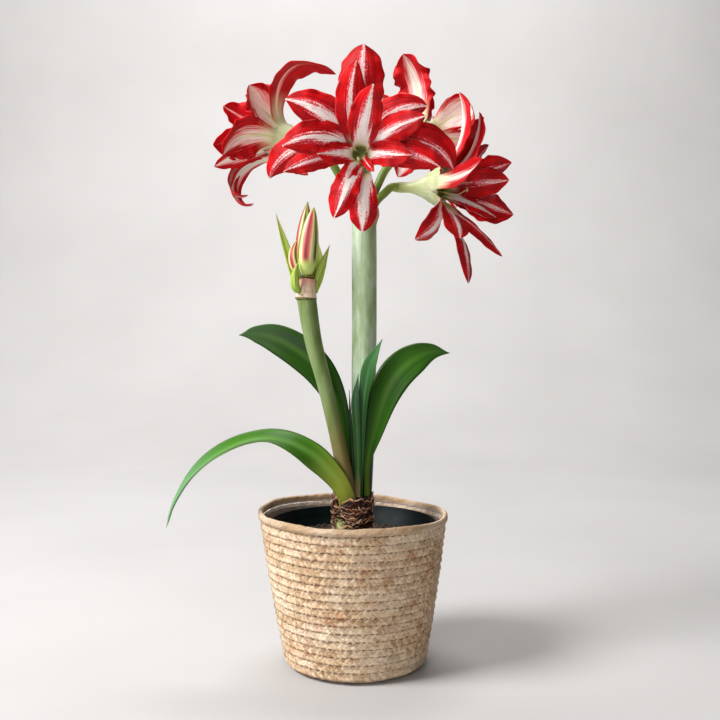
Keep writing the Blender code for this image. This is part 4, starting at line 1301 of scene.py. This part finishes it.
bractShapes = {
    "bud_bract_left": Leaf([(-52.6, -6.8, 361), (-57, -1, 378), (-63, 1, 398), (-69, 1, 417), (-74, 1, 434)],
                           [3, 9, 8.5, 6.5, 3.5, 0.5], [(0.2, -1, 0)] * 2, [0.5, 0.4], 0.8, 0.3),
    "bud_bract_right": Leaf([(-35, -11, 357), (-31.5, -10, 373), (-27, -9, 389), (-22, -8, 403)],
                            [3, 8, 8, 4.5, 0.5], [(-0.2, -1, 0)] * 2, [0.5, 0.4], 0.8, 0.6),
    "bud_bract_back": Leaf([(-35.9, -5.2, 360), (-33, -1, 378), (-32, 1, 392), (-33, 1.5, 406)],
                           [3, 9, 9, 5, 0.5], [(-0.2, -1, 0)] * 2, [0.5, 0.4], 0.8, 0.8),
}

collar = {
    "points": [(-44.4, -12, 353.0), (-44.1, -12, 358), (-43.1, -12, 364), (-42.2, -12, 370.8)],
    "radii": [10.1, 9.7, 8.8, 8.1, 7.8, 7.9],
    "jointPoints": [(-44.5, -12, 350.6), (-44.45, -12, 352.0), (-44.4, -12, 353.6)],
    "jointRadii": [9.3, 10.5, 9.6],
    "heartPoints": [(-44, -13, 371), (-44, -12, 377), (-44, -12, 381)], "heartRadii": [7.5, 6.0, 1.0],
}

huskShape = Leaf([(22, -2, 422), (24.6, -4, 433), (23, -6, 442)], [4, 9, 7, 1.5], [(-0.9, 0.4, 0)] * 2,
                 [0.3, 0.3], 0.5, 0.4)


def budMaterial():
    material, tree, shader = startMaterial("bud sepals", 0.45, Subsurface_Weight=0.1, Subsurface_Scale=0.002)
    across, along = sheetPlace(tree)
    seed = tintOf(tree)
    fromRib = offMiddle(tree, calc(tree, "FRACT", calc(tree, "MULTIPLY_ADD", across, 3.0, seed)))
    lines = streaksOf(tree, across, along, 46.0, 2.0, seed, 3.0)
    colour = ramped(tree, swayed(tree, fromRib, lines, 0.5), (
        (0.04, tone(120, 30, 40)), (0.22, tone(196, 74, 68)), (0.36, tone(216, 108, 96)),
        (0.50, tone(228, 218, 176)), (0.74, tone(172, 190, 92)), (0.98, tone(70, 24, 30))))
    colour = mixed(tree, graded(tree, along, 0.30, 0.17), colour, tone(186, 204, 112))
    colour = mixed(tree, graded(tree, along, 0.86, 1.0), colour, tone(150, 166, 70))
    colourFrom(tree, shader, colour)
    bumped(tree, shader, calc(tree, "ADD", lines, fromRib), 0.5, 0.5)
    return material


def smallBudMaterial(name, dark, middle, light):
    material, tree, shader = startMaterial(name, 0.45, Subsurface_Weight=0.1, Subsurface_Scale=0.002)
    across, along = sheetPlace(tree)
    lines = streaksOf(tree, across, along, 30.0, 2.0, tintOf(tree), 3.0)
    colour = ramped(tree, lines, ((0.3, dark), (0.5, middle), (0.72, light)))
    flush = times(tree, graded(tree, along, 0.4, 0.9), graded(tree, lines, 0.5, 0.62))
    colour = mixed(tree, times(tree, flush, 0.6), colour, tone(150, 60, 52))
    colourFrom(tree, shader, colour)
    bumped(tree, shader, lines, 0.4, 0.3)
    return material


def papery():
    material, tree, shader = startMaterial("dry bract", 0.6)
    grain = solidNoise(tree, 420.0, stretch=(1, 1, 0.25))
    colour = ramped(tree, grain, (
        (0.3, tone(192, 152, 124)), (0.5, tone(224, 198, 174)), (0.72, tone(242, 228, 208))))
    flush = graded(tree, objectParts(tree)[2], 0.359, 0.370, 0, 0.75)
    colour = mixed(tree, flush, colour, tone(184, 112, 94))
    colourFrom(tree, shader, colour)
    bumped(tree, shader, grain, 0.6, 0.4)
    return material


def closedBuds(sepal, young):
    for name, (points, radius, seed) in budShapes.items():
        slot = "bud_cream_green" if "large" in name else "bud_green"
        radii = []
        for step in range(13):
            swell = math.sin(math.pi * min(1, 0.97 * (step / 12) ** 0.75 + 0.03)) ** 0.7
            radii.append(radius * max(0.03 if step == 12 else 0.22, swell))

        def furrows(angle, place):
            return 1 - 0.06 * math.cos(3 * angle + math.tau * seed) ** 9 * ease(place, 0.1, 0.4)

        bm = newBm()
        layTube(bm, smoothPath(points, 40), radii, 40, tint=seed, shape=furrows)
        closeEnds(bm)
        addPiece(name + "_closed", bm, [young if "small" in name else sepal], slot, name)


def collarFolds(angle, place):
    return 1 + 0.02 * math.sin(angle * 5 + place * 2) * place


def budCollar(dry, joint):
    bm = newBm()
    layTube(bm, smoothPath(collar["points"], 24), collar["radii"], 36, shape=collarFolds)
    closeEnds(bm)
    addPiece("bud_collar_skin", bm, [dry], "bract_skin", "bud_collar")
    bm = newBm()
    layTube(bm, smoothPath(collar["jointPoints"], 8), collar["jointRadii"], 36)
    layTube(bm, smoothPath(collar["heartPoints"], 8), collar["heartRadii"], 24)
    closeEnds(bm)
    addPiece("bud_joint", bm, [joint], "bud_green")


def bracts(young, dry):
    for name, leaf in bractShapes.items():
        addBlade(name, leaf, young, "bud_green", 32, 16)
    bm = newBm()
    layLeaf(bm, huskShape, 16, 12)
    addPiece("tall_scape_bract_husk", bm, [dry], "bract_skin", "tall_scape_bract")


def buds():
    sepal, dry = budMaterial(), papery()
    young = smallBudMaterial("young bud green", tone(104, 138, 32), tone(150, 178, 58), tone(198, 212, 108))
    joint = smallBudMaterial("bud joint green", tone(50, 52, 14), tone(96, 98, 34), tone(150, 146, 62))
    closedBuds(sepal, young)
    budCollar(dry, joint)
    bracts(young, dry)


buds()
print("buds and bracts set")


# floor, lights and camera

studioSet = {  # distances in metres; the floor turns up into the wall on a wide round
    "floorSize": 9, "inFront": 5, "flatTo": 1.2, "bend": 1.3, "steps": 72,
    "worldColour": (1.0, 0.95, 0.88, 1), "worldStrength": 0.15,
    "cameraSpot": (0.0068, -0.915, 0.330), "cameraTilt": 87.7, "lens": 47.5, "sensor": 36,
}

studioLamps = {  # where it stands, what it looks at, its width, its power and its colour
    "window": ((-1.75, -0.8, 1.85), (0, 0, 0.3), 1.1, 102, (0.99, 0.99, 1.0)),
    "room": ((-0.7, -2.4, 0.9), (0, 0, 0.4), 1.2, 19, (1, 0.97, 0.93)),
    "wall wash": ((0.0, 0.9, 2.6), (0, 2.4, 0.6), 1.4, 54, (1, 1, 1)),
}


def studio():
    material, tree, shader = startMaterial("pale floor", 0.7)
    colourFrom(tree, shader, ramped(tree, solidNoise(tree, 3.0, 2.0), (
        (0.3, tone(184, 182, 181)), (0.7, tone(190, 188, 187)))))
    size, flatTo, bend = studioSet["floorSize"], studioSet["flatTo"], studioSet["bend"]

    def place(s, t):
        far = t * size - studioSet["inFront"]
        if far < flatTo:
            return Vector(((s - 0.5) * size, far, 0))
        angle = min((far - flatTo) / bend, math.pi / 2)
        wall = max(0, far - flatTo - bend * math.pi / 2)
        rise = bend * (1 - math.cos(angle)) + wall
        return Vector(((s - 0.5) * size, flatTo + bend * math.sin(angle), rise))

    bm = newBm()
    laySheet(bm, 2, studioSet["steps"], place)
    faceOutwards(bm)
    floor = linkMesh("studio_floor", bm, [material])


def addLamp(name, spot, aim, size, power, colour):
    data = bpy.data.lights.new(name, "AREA")
    data.shape = "DISK"
    data.size = size
    data.energy = power
    data.color = colour
    lamp = bpy.data.objects.new(name, data)
    lamp.location = spot
    lamp.rotation_euler = (Vector(spot) - Vector(aim)).to_track_quat("Z", "Y").to_euler()
    bpy.context.scene.collection.objects.link(lamp)


def studioLights():
    for name, lamp in studioLamps.items():
        addLamp(name, *lamp)
    world = bpy.data.worlds.new("pale room")
    world.use_nodes = True
    background = world.node_tree.nodes["Background"]
    background.inputs["Color"].default_value = studioSet["worldColour"]
    background.inputs["Strength"].default_value = studioSet["worldStrength"]
    bpy.context.scene.world = world
    bpy.context.scene.view_settings.view_transform = "Standard"


def addCamera():
    camera = bpy.data.objects.new("camera", bpy.data.cameras.new("camera"))
    camera.location = studioSet["cameraSpot"]
    camera.rotation_euler = (math.radians(studioSet["cameraTilt"]), 0, 0)
    camera.data.lens = studioSet["lens"]
    camera.data.sensor_width = studioSet["sensor"]
    bpy.context.scene.collection.objects.link(camera)
    bpy.context.scene.camera = camera


studio()
studioLights()
addCamera()
print("studio lit")
